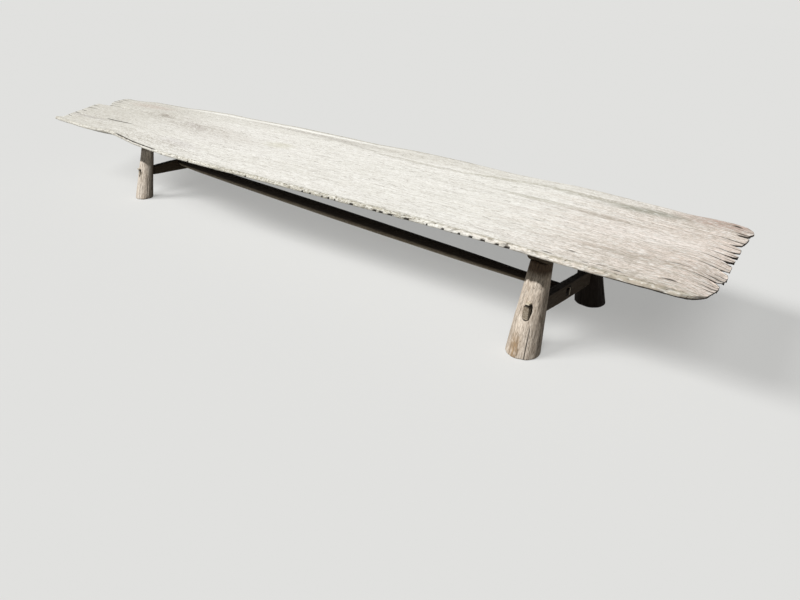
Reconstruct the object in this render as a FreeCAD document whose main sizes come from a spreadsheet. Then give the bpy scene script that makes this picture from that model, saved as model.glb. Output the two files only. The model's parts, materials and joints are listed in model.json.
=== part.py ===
import FreeCAD, Part
import os
import re
import Sketcher
from FreeCAD import Vector

# A long low bench. One wide natural-edged board lies on two bearers, four splayed round legs
# are tenoned up into the bearers, a cross rail ties each pair of legs, and a long pole ties
# the two rails. Every joint is wood in wood: tenons, wedges and pegs.
# X runs along the bench, the front is -Y, Z is up. The origin is on the floor under the
# middle of the board.

DRIVING = {
    # Board
    "seat_length": 4190,
    "seat_width": 900,
    "seat_height": 420,
    "seat_thickness": 45,
    "nose_drop": 15,
    "top_ease": 12,
    "under_ease": 68,
    # How far the board runs past the legs, how far a pair of legs stands from the board's midline,
    # and how far a foot stands out along the board from its shoulder
    "left_overhang": 1035,
    "right_overhang": 551,
    "left_across": 50,
    "right_across": 20,
    "foot_kick": 9,
    # By how much a pair's feet, its shoulders and its bearer are narrower than the board. The left
    # pair is wider, as the board is there
    "left_foot_setback": 314,
    "right_foot_setback": 366,
    "left_shoulder_setback": 466,
    "right_shoulder_setback": 526,
    "left_bearer_setback": 395,
    "right_bearer_setback": 455,
    # Legs
    "front_left_foot_radius": 50.5,
    "front_left_shoulder_radius": 33.5,
    "back_left_foot_radius": 50,
    "back_left_shoulder_radius": 35,
    "front_right_foot_radius": 62.5,
    "front_right_shoulder_radius": 39.5,
    "back_right_foot_radius": 63.5,
    "back_right_shoulder_radius": 33.5,
    "foot_ease": 5,
    "leg_tenon_radius": 20,
    # Bearers
    "bearer_width": 82,
    "bearer_depth": 55,
    "bearer_chamfer": 12,
    # Cross rails
    "left_rail_height": 149.5,
    "left_rail_fall": 2,
    "left_rail_shift": 0,
    "left_rail_thickness": 30,
    "left_rail_end_depth": 44,
    "left_rail_crown": 20,
    "left_rail_belly": 2,
    "left_tenon_depth": 40,
    "left_tenon_width": 24,
    "right_rail_height": 149.5,
    "right_rail_fall": 21,
    "right_rail_shift": 8,
    "right_rail_thickness": 31,
    "right_rail_end_depth": 59,
    "right_rail_crown": 1,
    "right_rail_belly": 7,
    "right_tenon_depth": 56,
    "right_tenon_width": 26,
    "tenon_round": 9,
    "tenon_proud": 10,
    # Long stretcher
    "stretcher_across": 20,
    "stretcher_height": 160,
    "stretcher_fall": 22,
    "stretcher_radius": 29.5,
    "stretcher_shoulder_radius": 19,
    "stretcher_tenon_radius": 14,
    "stretcher_proud": 5,
    # Wedges over the rail tenons
    "rail_wedge_length": 60,
    "rail_wedge_width": 15,
    "rail_wedge_thick": 7,
    "rail_wedge_thin": 3,
    # Wedges in the split ends of the leg tenons and the stretcher tenons
    "leg_wedge_length": 36,
    "leg_wedge_thick": 6,
    "leg_wedge_thin": 2,
    "stretcher_wedge_length": 24,
    "stretcher_wedge_thick": 5,
    "stretcher_wedge_thin": 2,
    # Pegs that hold the board on the bearers
    "peg_radius": 8,
    "peg_in_board": 26,
    "peg_stagger": 14,
    # Fits
    "fit_gap": 0.3,
    "peg_hole_spare": 1,
    "overrun": 20,
}

# Places that follow from the driving sizes
WORKED_OUT = {
    "leg_spacing": "seat_length - left_overhang - right_overhang",
    "legs_along": "(left_overhang - right_overhang) / 2",
    "bearer_top": "seat_height - seat_thickness",
    "shoulder_height": "bearer_top - bearer_depth",
    "leg_top": "bearer_top - fit_gap",
    "stretcher_tilt": "atan(stretcher_fall / leg_spacing)",
    "stretcher_reach_left": "legs_along - left_rail_plane + left_rail_thickness / 2",
    "stretcher_reach_right": "right_rail_plane - legs_along + right_rail_thickness / 2",
    "stretcher_body_left": "stretcher_reach_left - left_rail_thickness - fit_gap",
    "stretcher_body_right": "stretcher_reach_right - right_rail_thickness - fit_gap",
}

# The way that each end and each side lies from the middle of the legs
ENDS = {"left": "-", "right": "+"}
SIDES = {"front": "-", "back": "+"}
LEGS = [(side, end) for end in ENDS for side in SIDES]

for end, along in ENDS.items():
    WORKED_OUT[f"{end}_plane"] = f"legs_along {along} leg_spacing / 2"
    WORKED_OUT[f"{end}_kick"] = f"{along}1 * foot_kick"
    WORKED_OUT[f"{end}_foot_spread"] = f"seat_width - {end}_foot_setback"
    WORKED_OUT[f"{end}_shoulder_spread"] = f"seat_width - {end}_shoulder_setback"
    WORKED_OUT[f"{end}_bearer_length"] = f"seat_width - {end}_bearer_setback"
    WORKED_OUT[f"{end}_rail_tilt"] = f"-atan({end}_rail_fall / {end}_foot_spread)"
    WORKED_OUT[f"{end}_rail_plane"] = (
        f"{end}_plane + {end}_kick * (1 - {end}_rail_height / shoulder_height) + {end}_rail_shift")
    WORKED_OUT[f"{end}_splay"] = f"({end}_foot_spread - {end}_shoulder_spread) / 2"

for side, end in LEGS:
    leg = f"{side}_{end}"
    across = SIDES[side]
    upward = "+" if side == "front" else "-"
    joint = f"{leg}_joint_height / shoulder_height"
    thinning = f"({leg}_foot_radius - {leg}_shoulder_radius)"
    WORKED_OUT[f"{leg}_foot_across"] = f"{end}_across {across} {end}_foot_spread / 2"
    WORKED_OUT[f"{leg}_shoulder_across"] = f"{end}_across {across} {end}_shoulder_spread / 2"
    WORKED_OUT[f"{leg}_joint_height"] = f"{end}_rail_height {upward} {end}_rail_fall / 2"
    WORKED_OUT[f"{leg}_joint_across"] = f"{end}_foot_spread / 2 - {end}_splay * {joint}"
    WORKED_OUT[f"{leg}_rail_reach"] = (
        f"{leg}_joint_across + {leg}_foot_radius - {thinning} * {joint} + tenon_proud")

# Shares of the board's length and width, from the middle of its bounding box, going round
# from the tip at the front left
FRONT_EDGE_SHARES = [
    (-0.406, -0.456), (-0.389, -0.467), (-0.349, -0.464), (-0.309, -0.467), (-0.283, -0.456),
    (-0.253, -0.428), (-0.218, -0.445), (-0.173, -0.477), (-0.141, -0.489), (-0.085, -0.500),
    (-0.014, -0.484), (0.058, -0.458), (0.130, -0.435), (0.201, -0.416), (0.273, -0.397),
    (0.344, -0.387), (0.409, -0.386), (0.454, -0.379), (0.482, -0.367),
]
RIGHT_END_SHARES = [
    (0.491, -0.352), (0.498, -0.316), (0.500, -0.250), (0.499, -0.205), (0.490, -0.188),
    (0.499, -0.172), (0.499, -0.120), (0.498, -0.095), (0.487, -0.080), (0.497, -0.066),
    (0.496, -0.020), (0.486, 0.001), (0.495, 0.016), (0.495, 0.036), (0.486, 0.049),
    (0.494, 0.060), (0.495, 0.078), (0.485, 0.091), (0.494, 0.104), (0.493, 0.140),
    (0.483, 0.163), (0.491, 0.178), (0.492, 0.220), (0.492, 0.262), (0.480, 0.282),
    (0.490, 0.295), (0.492, 0.330), (0.490, 0.360), (0.484, 0.392),
]
BACK_EDGE_SHARES = [
    (0.478, 0.416), (0.460, 0.424), (0.437, 0.414), (0.416, 0.434), (0.384, 0.450),
    (0.348, 0.471), (0.322, 0.477), (0.284, 0.461), (0.256, 0.460), (0.222, 0.473),
    (0.190, 0.490), (0.153, 0.497), (0.118, 0.500), (0.060, 0.487), (-0.004, 0.498),
    (-0.100, 0.496), (-0.150, 0.478), (-0.196, 0.460), (-0.244, 0.468), (-0.298, 0.436),
    (-0.340, 0.388), (-0.385, 0.372), (-0.432, 0.356), (-0.458, 0.303), (-0.478, 0.289),
]
LEFT_END_SHARES = [
    (-0.496, 0.284), (-0.500, 0.262), (-0.494, 0.200), (-0.486, 0.145), (-0.470, 0.085),
    (-0.446, 0.017), (-0.457, -0.006), (-0.479, 0.006), (-0.470, -0.060), (-0.448, -0.160),
    (-0.427, -0.269), (-0.410, -0.360), (-0.398, -0.416),
]
OUTLINE_SHARES = FRONT_EDGE_SHARES + RIGHT_END_SHARES + BACK_EDGE_SHARES + LEFT_END_SHARES

# Along a rail's edge: where, as a share of its half length, and what share of its bow it has there
RAIL_BOW_SHARES = [(-1, 0), (-0.7, 0.5), (-0.35, 0.87), (0, 1), (0.35, 0.87), (0.7, 0.5), (1, 0)]

# Along the stretcher: where, as a share of its half length, and what share of its taper it has
STRETCHER_TAPER_SHARES = {
    "left": [(1, 1), (0.93, 0.62), (0.82, 0.34), (0.6, 0.14), (0.3, 0.03)],
    "right": [(0.08, 0), (0.3, 0.14), (0.45, 0.28), (0.62, 0.42), (0.73, 0.62), (0.85, 0.9), (1, 1)],
}

# Along a bearer, as shares of its half length, and which way each peg is staggered
PEG_SHARES = [(-0.5, 1), (-0.17, -1), (0.17, 1), (0.5, -1)]


doc = FreeCAD.newDocument("slab_bench")
sheet = doc.addObject("Spreadsheet::Sheet", "Sizes")
cells = DRIVING | {name: f"={sum_rule}" for name, sum_rule in WORKED_OUT.items()}
for row, (name, content) in enumerate(cells.items(), start=1):
    sheet.set(f"A{row}", name)
    sheet.set(f"B{row}", str(content))
    sheet.setAlias(f"B{row}", name)
doc.recompute()


def size(name):
    """A value of the sheet as a plain number."""
    return float(sheet.get(name))


def rule(text):
    """An expression in which each name of the sheet is given in full."""
    return re.sub(r"[a-z_]+", lambda word: f"Sizes.{word[0]}" if word[0] in cells else word[0], text)


def worth(text):
    """What a rule comes to, as a plain number."""
    return float(sheet.evalExpression(text))


def bind(obj, **rules):
    for prop, text in rules.items():
        obj.setExpression(prop, rule(text))
    return obj


def place(obj, along="0", across="0", up="0", turn="rotationx(0)"):
    """Bind a place and a turn to the sheet."""
    obj.setExpression("Placement", rule(f"placement(vector({along}; {across}; {up}); {turn})"))
    return obj


def origin_plane(body, role):
    return next(plane for plane in body.Origin.OriginFeatures if plane.Role == role)


def bound_outline(body, role, corners):
    """A closed outline of straight lines whose corners are rules, each bound in both directions."""
    sketch = body.newObject("Sketcher::SketchObject", f"{body.Name}_outline")
    sketch.AttachmentSupport = [(origin_plane(body, role), "")]
    sketch.MapMode = "FlatFace"
    spots = [Vector(worth(first), worth(second), 0) for first, second in corners]
    for spot, following in zip(spots, spots[1:] + spots[:1]):
        sketch.addGeometry(Part.LineSegment(spot, following))
    for index in range(len(spots)):
        sketch.addConstraint(
            Sketcher.Constraint("Coincident", index, 2, (index + 1) % len(spots), 1))
    for index, (spot, corner) in enumerate(zip(spots, corners)):
        for kind, value, text in (("DistanceX", spot.x, corner[0]), ("DistanceY", spot.y, corner[1])):
            number = sketch.addConstraint(Sketcher.Constraint(kind, -1, 1, index, 1, value))
            sketch.setExpression(f"Constraints[{number}]", rule(text))
    return sketch


def pad(body, sketch, length):
    """A pad of the sketch, equally far to both sides of its plane."""
    feature = body.newObject("PartDesign::Pad", f"{body.Name}_pad")
    feature.Profile = sketch
    feature.Midplane = True
    bind(feature, Length=length)
    sketch.Visibility = False
    return feature


def cut(name, base, *tools):
    """The base less the tools, and a check that each of them took something away."""
    result = base
    for number, tool in enumerate(tools, start=1):
        step = doc.addObject("Part::Cut", f"{name}_cut_{number}")
        step.Base = result
        step.Tool = tool
        result = step
    doc.recompute()
    result.Label = name
    if not result.Shape.Volume < base.Shape.Volume:
        raise ValueError(f"{name}: nothing was cut away")
    return result


def fuse(name, *pieces):
    whole = doc.addObject("Part::MultiFuse", name)
    whole.Shapes = list(pieces)
    return whole


def common(name, *pieces):
    shared = doc.addObject("Part::MultiCommon", name)
    shared.Shapes = list(pieces)
    return shared


def tapered_block(name, wide, deep_low, deep_high, near, far):
    """A block along Y, from near to far, whose depth in Z runs from one rule pair to another."""
    block = doc.addObject("Part::Wedge", name)
    return bind(block, Xmin=f"-({wide}) / 2", Xmax=f"({wide}) / 2",
                X2min=f"-({wide}) / 2", X2max=f"({wide}) / 2", Ymin=near, Ymax=far,
                Zmin=deep_low[0], Zmax=deep_low[1], Z2min=deep_high[0], Z2max=deep_high[1])


# Board

def board_outline(inset, height):
    """The board's outline, drawn in on every side by the inset, as a wire at a height."""
    length = size("seat_length") - 2 * inset
    width = size("seat_width") - 2 * inset
    spots = [Vector(along * length, across * width, height) for along, across in OUTLINE_SHARES]
    return Part.makePolygon(spots + spots[:1])


def board_blank():
    """The sawn board: eased a little on top, and hewn away under its edge."""
    top = size("seat_height")
    under = board_outline(size("under_ease"), size("bearer_top"))
    nose = board_outline(0, top - size("nose_drop"))
    upper = board_outline(size("top_ease"), top)
    blank = doc.addObject("Part::Feature", "board_blank")
    blank.Shape = Part.makeLoft([under, nose, upper], True, True)
    return blank


# Legs

def leg_ring(name, leg, end, height, radius):
    """A level circle round the axis of a leg."""
    ring = doc.addObject("Part::Circle", name)
    bind(ring, Radius=radius)
    return place(ring,
                 f"{end}_plane + {end}_kick * (1 - ({height}) / shoulder_height)",
                 f"{leg}_foot_across + ({leg}_shoulder_across - {leg}_foot_across)"
                 f" * ({height}) / shoulder_height",
                 height)


def leg_round(name, leg, end, grow="0"):
    """The leaning tapered round of a leg, from the floor to its shoulder."""
    rings = [
        leg_ring(f"{name}_sole", leg, end, "0", f"{leg}_foot_radius - foot_ease + {grow}"),
        leg_ring(f"{name}_foot", leg, end, "foot_ease", f"{leg}_foot_radius + {grow}"),
        leg_ring(f"{name}_top", leg, end, "shoulder_height", f"{leg}_shoulder_radius + {grow}"),
    ]
    return ruled_loft(name, rings)


def leg_tenon(name, leg, end, top, grow="0"):
    """The round tenon on a leg's shoulder, leaning as the leg does."""
    rings = [
        leg_ring(f"{name}_root", leg, end, "shoulder_height", f"leg_tenon_radius + {grow}"),
        leg_ring(f"{name}_end", leg, end, top, f"leg_tenon_radius + {grow}"),
    ]
    return ruled_loft(name, rings)


def ruled_loft(name, rings):
    loft = doc.addObject("Part::Loft", name)
    loft.Sections = rings
    loft.Solid = True
    loft.Ruled = True
    return loft


def leg_wedge_block(name, leg, end, grow="0"):
    """A block across a leg's tenon that thins downwards, from the tenon's top."""
    block = tapered_block(name, f"2 * (leg_tenon_radius + overrun) + {grow}",
                          (f"-leg_wedge_thick / 2 - {grow}", f"leg_wedge_thick / 2 + {grow}"),
                          (f"-leg_wedge_thin / 2 - {grow}", f"leg_wedge_thin / 2 + {grow}"),
                          f"-({grow})", f"leg_wedge_length + {grow}")
    lean = f"({leg}_shoulder_across - {leg}_foot_across) / shoulder_height"
    return place(block,
                 f"{end}_plane - {end}_kick * (leg_top - shoulder_height) / shoulder_height",
                 f"{leg}_shoulder_across + {lean} * (leg_top - shoulder_height)",
                 "leg_top", f"rotationx(-90 deg - atan({lean}))")


# Rails

def rail_place(obj, end):
    return place(obj, f"{end}_rail_plane", f"{end}_across", f"{end}_rail_height",
                 f"rotationx({end}_rail_tilt)")


def rounded_bar(name, end, front, back, grow="0"):
    """The bar with rounded corners that forms a rail's two tenons, from leg to leg."""
    body = doc.addObject("PartDesign::Body", name)
    wide = f"({end}_tenon_width / 2 + {grow})"
    deep = f"({end}_tenon_depth / 2 + {grow})"
    corners = [(f"-{wide}", f"-({front})"), (wide, f"-({front})"), (wide, back), (f"-{wide}", back)]
    sketch = bound_outline(body, "XY_Plane", corners)
    bar = pad(body, sketch, f"2 * {deep}")
    doc.recompute()
    long_edges = [f"Edge{number}" for number, edge in enumerate(bar.Shape.Edges, start=1)
                  if abs(edge.tangentAt(edge.FirstParameter).y) > 0.5]
    rounding = body.newObject("PartDesign::Fillet", f"{name}_rounding")
    rounding.Base = (bar, long_edges)
    bind(rounding, Radius=f"tenon_round + {grow}")
    return rail_place(body, end)


def rail_board(name, end):
    """The flat board between two legs, bowed by its crown above and its belly below."""
    body = doc.addObject("PartDesign::Body", name)
    reach = f"{end}_foot_spread / 2 - {end}_splay * {end}_rail_height / shoulder_height"
    half = f"{end}_rail_end_depth / 2"
    crown = [(f"{along} * ({reach})", f"{half} + {bow} * {end}_rail_crown")
             for along, bow in reversed(RAIL_BOW_SHARES)]
    belly = [(f"{along} * ({reach})", f"-{half} - {bow} * {end}_rail_belly")
             for along, bow in RAIL_BOW_SHARES]
    pad(body, bound_outline(body, "YZ_Plane", belly + crown), f"{end}_rail_thickness")
    return rail_place(body, end)


def rail_wedge_block(name, end, side, grow="0"):
    """A block that lies on a rail's tenon and thins inwards from the tenon's end."""
    low = f"{end}_tenon_depth / 2 + fit_gap - ({grow})"
    thick = (low, f"{end}_tenon_depth / 2 + fit_gap + rail_wedge_thick + {grow}")
    thin = (low, f"{end}_tenon_depth / 2 + fit_gap + rail_wedge_thin + {grow}")
    reach = f"{side}_{end}_rail_reach - tenon_proud / 2"
    wide = f"rail_wedge_width + 2 * ({grow})"
    if side == "front":
        block = tapered_block(name, wide, thick, thin, f"-({reach}) - ({grow})",
                              f"-({reach}) + rail_wedge_length + {grow}")
    else:
        block = tapered_block(name, wide, thin, thick, f"{reach} - rail_wedge_length - ({grow})",
                              f"{reach} + {grow}")
    return rail_place(block, end)


# Stretcher

def stretcher_place(obj, turn="rotationy(stretcher_tilt)"):
    return place(obj, "legs_along", "stretcher_across", "stretcher_height", turn)


def stretcher_half_profile(end):
    """The corners of the stretcher's half profile from its middle to one end, in order."""
    sign = "-" if end == "left" else ""
    taper = "(stretcher_radius - stretcher_shoulder_radius)"
    swell = [(f"{sign}{share} * stretcher_body_{end}", f"stretcher_radius - {lost} * {taper}")
             for share, lost in STRETCHER_TAPER_SHARES[end]]
    shoulder = f"{sign}1 * stretcher_body_{end}"
    tip = f"{sign}1 * (stretcher_reach_{end} + stretcher_proud)"
    tenon = [(shoulder, "stretcher_tenon_radius"), (tip, "stretcher_tenon_radius"), (tip, "0")]
    return list(reversed(tenon)) + swell if end == "left" else swell + tenon


def stretcher_pole():
    body = doc.addObject("PartDesign::Body", "stretcher_pole")
    outline = bound_outline(body, "XZ_Plane",
                            stretcher_half_profile("left") + stretcher_half_profile("right"))
    turned = body.newObject("PartDesign::Revolution", "stretcher_turned")
    turned.Profile = outline
    turned.ReferenceAxis = (outline, ["H_Axis"])
    return stretcher_place(body)


def stretcher_bore(name, grow):
    """A cylinder along the whole stretcher, as thick as its tenons plus the growth."""
    bore = doc.addObject("Part::Cylinder", name)
    bind(bore, Radius=f"stretcher_tenon_radius + {grow}",
         Height="stretcher_reach_left + stretcher_reach_right + 2 * (stretcher_proud + overrun)")
    back = "(stretcher_reach_left + stretcher_proud + overrun)"
    return place(bore, f"legs_along - {back} * cos(stretcher_tilt)", "stretcher_across",
                 f"stretcher_height + {back} * sin(stretcher_tilt)",
                 "rotationy(90 deg + stretcher_tilt)")


def stretcher_wedge_block(name, end, grow="0"):
    """A block across a stretcher tenon that thins inwards from the tenon's end."""
    block = tapered_block(name, f"2 * (stretcher_tenon_radius + overrun) + {grow}",
                          (f"-stretcher_wedge_thick / 2 - {grow}", f"stretcher_wedge_thick / 2 + {grow}"),
                          (f"-stretcher_wedge_thin / 2 - {grow}", f"stretcher_wedge_thin / 2 + {grow}"),
                          f"-({grow})", f"stretcher_wedge_length + {grow}")
    sign = "-" if end == "left" else "+"
    way = "-90" if end == "left" else "90"
    tip = f"(stretcher_reach_{end} + stretcher_proud)"
    fall = "+" if end == "left" else "-"
    return place(block, f"legs_along {sign} {tip} * cos(stretcher_tilt)", "stretcher_across",
                 f"stretcher_height {fall} {tip} * sin(stretcher_tilt)",
                 f"rotationy(stretcher_tilt) * rotationz({way}) * rotationy(90)")


# Bearers and pegs

def bearer_blank(end):
    """A squared bearer with its two lower ends chamfered."""
    body = doc.addObject("PartDesign::Body", f"{end}_bearer_blank")
    half = f"{end}_bearer_length / 2"
    corners = [(f"-{half}", "0"), (f"-{half}", "-bearer_depth + bearer_chamfer"),
               (f"-{half} + bearer_chamfer", "-bearer_depth"),
               (f"{half} - bearer_chamfer", "-bearer_depth"),
               (half, "-bearer_depth + bearer_chamfer"), (half, "0")]
    pad(body, bound_outline(body, "YZ_Plane", corners), "bearer_width")
    return place(body, f"{end}_plane", f"{end}_across", "bearer_top")


def peg_row(name, end, grow, spare):
    """The row of pegs, or of the holes for them, from under a bearer into the board."""
    pegs = []
    for number, (share, way) in enumerate(PEG_SHARES, start=1):
        peg = doc.addObject("Part::Cylinder", f"{name}_{number}")
        bind(peg, Radius=f"peg_radius + {grow}", Height=f"bearer_depth + peg_in_board + {spare}")
        place(peg, f"{end}_plane + {way} * peg_stagger",
              f"{end}_across + {share} * {end}_bearer_length / 2", "shoulder_height")
        pegs.append(peg)
    row = doc.addObject("Part::Compound", name)
    row.Links = pegs
    return row


# Putting the bench together

parts = {}
peg_holes = {}
for end in ENDS:
    parts[f"{end}_bearer_pegs"] = peg_row(f"{end}_bearer_pegs", end, "0", "0")
    peg_holes[end] = peg_row(f"{end}_peg_holes", end, "fit_gap", "peg_hole_spare")
    mortises = [leg_tenon(f"{side}_{end}_socket", f"{side}_{end}", end, "bearer_top", "fit_gap")
                for side in SIDES]
    parts[f"{end}_bearer"] = cut(f"{end}_bearer", bearer_blank(end), *mortises, peg_holes[end])

parts["seat_board"] = cut("seat_board", board_blank(), *peg_holes.values())

rail_bore = stretcher_bore("rail_bore", "fit_gap")
for end in ENDS:
    front, back = f"front_{end}_rail_reach", f"back_{end}_rail_reach"
    mortise = rounded_bar(f"{end}_mortise", end, f"{front} + overrun", f"{back} + overrun", "fit_gap")
    scribes = []
    for side in SIDES:
        leg = f"{side}_{end}"
        whole = fuse(f"{leg}_log", leg_round(f"{leg}_round", leg, end),
                     leg_tenon(f"{leg}_tenon", leg, end, "leg_top"))
        parts[f"{leg}_leg"] = cut(f"{leg}_leg", whole, mortise,
                                  rail_wedge_block(f"{leg}_wedge_slot", end, side, "fit_gap"),
                                  leg_wedge_block(f"{leg}_kerf", leg, end, "fit_gap"))
        scribes.append(leg_round(f"{leg}_scribe", leg, end, "fit_gap"))
        parts[f"{leg}_rail_wedge"] = rail_wedge_block(f"{leg}_rail_wedge", end, side)
        parts[f"{leg}_leg_wedge"] = common(
            f"{leg}_leg_wedge", leg_wedge_block(f"{leg}_wedge_block", leg, end),
            leg_tenon(f"{leg}_wedge_bound", leg, end, "leg_top"))
    coped = cut(f"{end}_rail_coped", rail_board(f"{end}_rail_board", end), *scribes)
    rail = fuse(f"{end}_rail_whole", coped, rounded_bar(f"{end}_tenons", end, front, back))
    parts[f"{end}_cross_rail"] = cut(f"{end}_cross_rail", rail, rail_bore)

kerfs = [stretcher_wedge_block(f"{end}_stretcher_kerf", end, "fit_gap") for end in ENDS]
parts["long_stretcher"] = cut("long_stretcher", stretcher_pole(), *kerfs)
for end in ENDS:
    parts[f"{end}_stretcher_wedge"] = common(
        f"{end}_stretcher_wedge", stretcher_wedge_block(f"{end}_stretcher_block", end),
        stretcher_bore(f"{end}_wedge_round", "0"))

for name, part in parts.items():
    part.Label = name
doc.recompute()

# Nothing is written unless every feature and every piece is sound
for obj in doc.Objects:
    if {"Invalid", "Error"} & set(obj.State):
        raise ValueError(f"{obj.Label} could not be made: {obj.State}")
for name, part in parts.items():
    if part.Shape.isNull() or not part.Shape.isValid():
        raise ValueError(f"{name} has no sound shape")

os.makedirs("parts", exist_ok=True)
for name, part in sorted(parts.items()):
    part.Shape.exportStep(f"parts/{name}.step")
    box = part.Shape.BoundBox
    print(f"{name}: {len(part.Shape.Solids)} solid, {part.Shape.Volume:.0f} mm3, "
          f"x {box.XMin:.1f} {box.XMax:.1f}, y {box.YMin:.1f} {box.YMax:.1f}, "
          f"z {box.ZMin:.1f} {box.ZMax:.1f}")
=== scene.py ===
# %% [markdown]
# # A long low bench of weathered wood
#
# The real bench is one wide plank with its natural edges left on, set on four splayed round legs.
# A flat rail ties each pair of legs, and a long shaved pole ties the two rails. All of it is old
# wood that sun and rain have bleached and worn.
#
# The solid model of the bench is loaded first. It fixes every size and place, and each piece made
# below takes its measures from it, so that nothing has to be fitted by eye.

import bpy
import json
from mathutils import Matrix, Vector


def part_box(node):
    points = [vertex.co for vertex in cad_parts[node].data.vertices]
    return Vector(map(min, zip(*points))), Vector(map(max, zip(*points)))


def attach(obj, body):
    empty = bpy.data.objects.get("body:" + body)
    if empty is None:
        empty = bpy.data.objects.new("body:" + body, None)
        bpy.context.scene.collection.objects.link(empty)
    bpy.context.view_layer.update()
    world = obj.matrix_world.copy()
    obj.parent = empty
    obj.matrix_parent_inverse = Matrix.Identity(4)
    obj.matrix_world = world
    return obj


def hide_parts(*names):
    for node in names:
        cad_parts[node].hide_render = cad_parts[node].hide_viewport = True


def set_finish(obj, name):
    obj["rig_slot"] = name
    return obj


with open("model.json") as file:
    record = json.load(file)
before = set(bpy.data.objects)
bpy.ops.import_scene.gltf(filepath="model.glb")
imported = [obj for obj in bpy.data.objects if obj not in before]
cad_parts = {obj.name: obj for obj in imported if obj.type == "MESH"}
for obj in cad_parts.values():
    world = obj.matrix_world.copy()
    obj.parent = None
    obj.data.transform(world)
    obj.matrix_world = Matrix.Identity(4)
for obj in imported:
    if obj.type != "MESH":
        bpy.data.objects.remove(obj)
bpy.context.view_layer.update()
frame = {"nodes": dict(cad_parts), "record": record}

# %% [markdown]
# ## Camera
#
# A picture taken by eye shows a long thing with strong perspective, so the camera's place, aim and
# lens have to be right before any shape can be judged. They could be found by trying, but it is
# surer to work them out from points whose real places are known, such as the feet and the rails.
# The three axes of the camera are then built from its heading, its dip below level and its roll.

# %% Camera
import bpy
import numpy as np
from mathutils import Matrix, Vector, geometry

CAMERA_PLACE = Vector((2.398, -1.896, 1.098))
HEADING, DIP, ROLL = np.radians((-40.603, 26.652, 1.023))
LENS_MM = 27

scene = bpy.context.scene
scene.view_settings.view_transform = "Standard"

ahead = Vector((np.sin(HEADING) * np.cos(DIP), np.cos(HEADING) * np.cos(DIP), -np.sin(DIP)))
level = Vector((np.cos(HEADING), -np.sin(HEADING), 0))
above = level.cross(ahead)
right = np.cos(ROLL) * level + np.sin(ROLL) * above
up = np.cos(ROLL) * above - np.sin(ROLL) * level

camera = bpy.data.objects.new("camera", bpy.data.cameras.new("camera"))
camera.data.lens = LENS_MM
camera.matrix_world = Matrix.Translation(CAMERA_PLACE) @ Matrix((right, up, -ahead)).transposed().to_4x4()
scene.collection.objects.link(camera)
scene.camera = camera
print("camera aims along", [round(number, 3) for number in ahead])

# %% [markdown]
# ## Colours and nodes
#
# Colours are easiest to choose as the hex values of a picture, but light adds up in linear values,
# so one function turns each hex value into those. One more function adds a node to any tree, with
# its settings and whatever goes into its sockets, so that a whole material reads as a short list.
# Three short ones save what would be written again and again: a sum, an empty tree, a new object.

# %% Colour, node and object helpers
def linear(hex_value):
    """An sRGB hex colour as linear red, green, blue and a full alpha, by the sRGB curve."""
    parts = [int(hex_value[i:i + 2], 16) / 255 for i in (0, 2, 4)]
    return [part / 12.92 if part < 0.04045 else ((part + 0.055) / 1.055) ** 2.4 for part in parts] + [1]


def add(tree, kind, inputs=None, **settings):
    """One node: its kind, what its sockets hold or are joined to, and its settings."""
    node = tree.nodes.new(kind)
    for setting, value in settings.items():
        setattr(node, setting, value)
    for socket, value in (inputs or {}).items():
        if isinstance(value, bpy.types.NodeSocket):
            tree.links.new(value, node.inputs[socket])
        else:
            node.inputs[socket].default_value = value
    return node


def maths(tree, operation, *values):
    """What one operation makes of numbers and sockets."""
    return add(tree, "ShaderNodeMath", dict(enumerate(values)), operation=operation).outputs[0]


def empty_tree(owner):
    """The node tree of a world or a material, with nothing in it yet."""
    owner.use_nodes = True
    owner.node_tree.nodes.clear()
    return owner.node_tree


def add_object(name, data):
    """A new object in the scene."""
    thing = bpy.data.objects.new(name, data)
    scene.collection.objects.link(thing)
    return thing


# %% [markdown]
# ## Floor and light
#
# The bench stands on a plain pale floor with no visible far edge. A sun lamp gives the same light
# all along such a long piece, which a lamp close by could not do. The picture has crisp shadow edges
# on the legs but soft ones on the floor, and no single lamp gives both. So light linking lets each
# sun light some things alone. A small sun lights the bench. The two left legs have one of their own,
# turned a little, because the rays of a near lamp spread out like a fan. The floor has three wider
# suns side by side, and a very wide one that leans the other way, a haze whose shadow lies right
# behind the bench.
#
# What the camera sees of the floor is part plain glow and part lit surface, so the shadow stays
# mild, while the floor throws little light upwards and the bench stays dark below.

# %% Floor and light
PALE = "e1e1df"
SUN_LEVEL = 4.45
SKY_LEVEL = 0.06
GLOW_SHARE = 0.47
FLOOR_BOUNCE = "9a9a98"
FLOOR_REACH = 40.0
# Each sun: how far its light goes to the right and back while it falls by one, how many degrees
# wide the sun is, and its share of the light
SUNS = {"bench_sun": (0.38, 0.86, 2.0, 0.94), "fan_sun": (0.02, 0.86, 2.0, 0.94),
        "floor_haze": (-0.32, 1.0, 30.0, 0.39)}
# A long softbox blurs a shadow more along its length, so it's set as three suns side by side
SUNS |= {f"floor_sun_{number}": (across, 1.0, 13.0, 0.65 / 3)
         for number, across in enumerate((0.56, 0.86, 1.16))}


def seen_directly(tree):
    """1 for rays that carry the background: from the camera, off gloss or through glass."""
    path = add(tree, "ShaderNodeLightPath").outputs
    gloss = maths(tree, "MAXIMUM", path["Is Camera Ray"], path["Is Glossy Ray"])
    return maths(tree, "MAXIMUM", gloss, path["Is Transmission Ray"])


def shader_mix(tree, share, first, second):
    """The second shader laid over the first one by a share."""
    return add(tree, "ShaderNodeMixShader", {0: share, 1: first.outputs[0], 2: second.outputs[0]})


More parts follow.
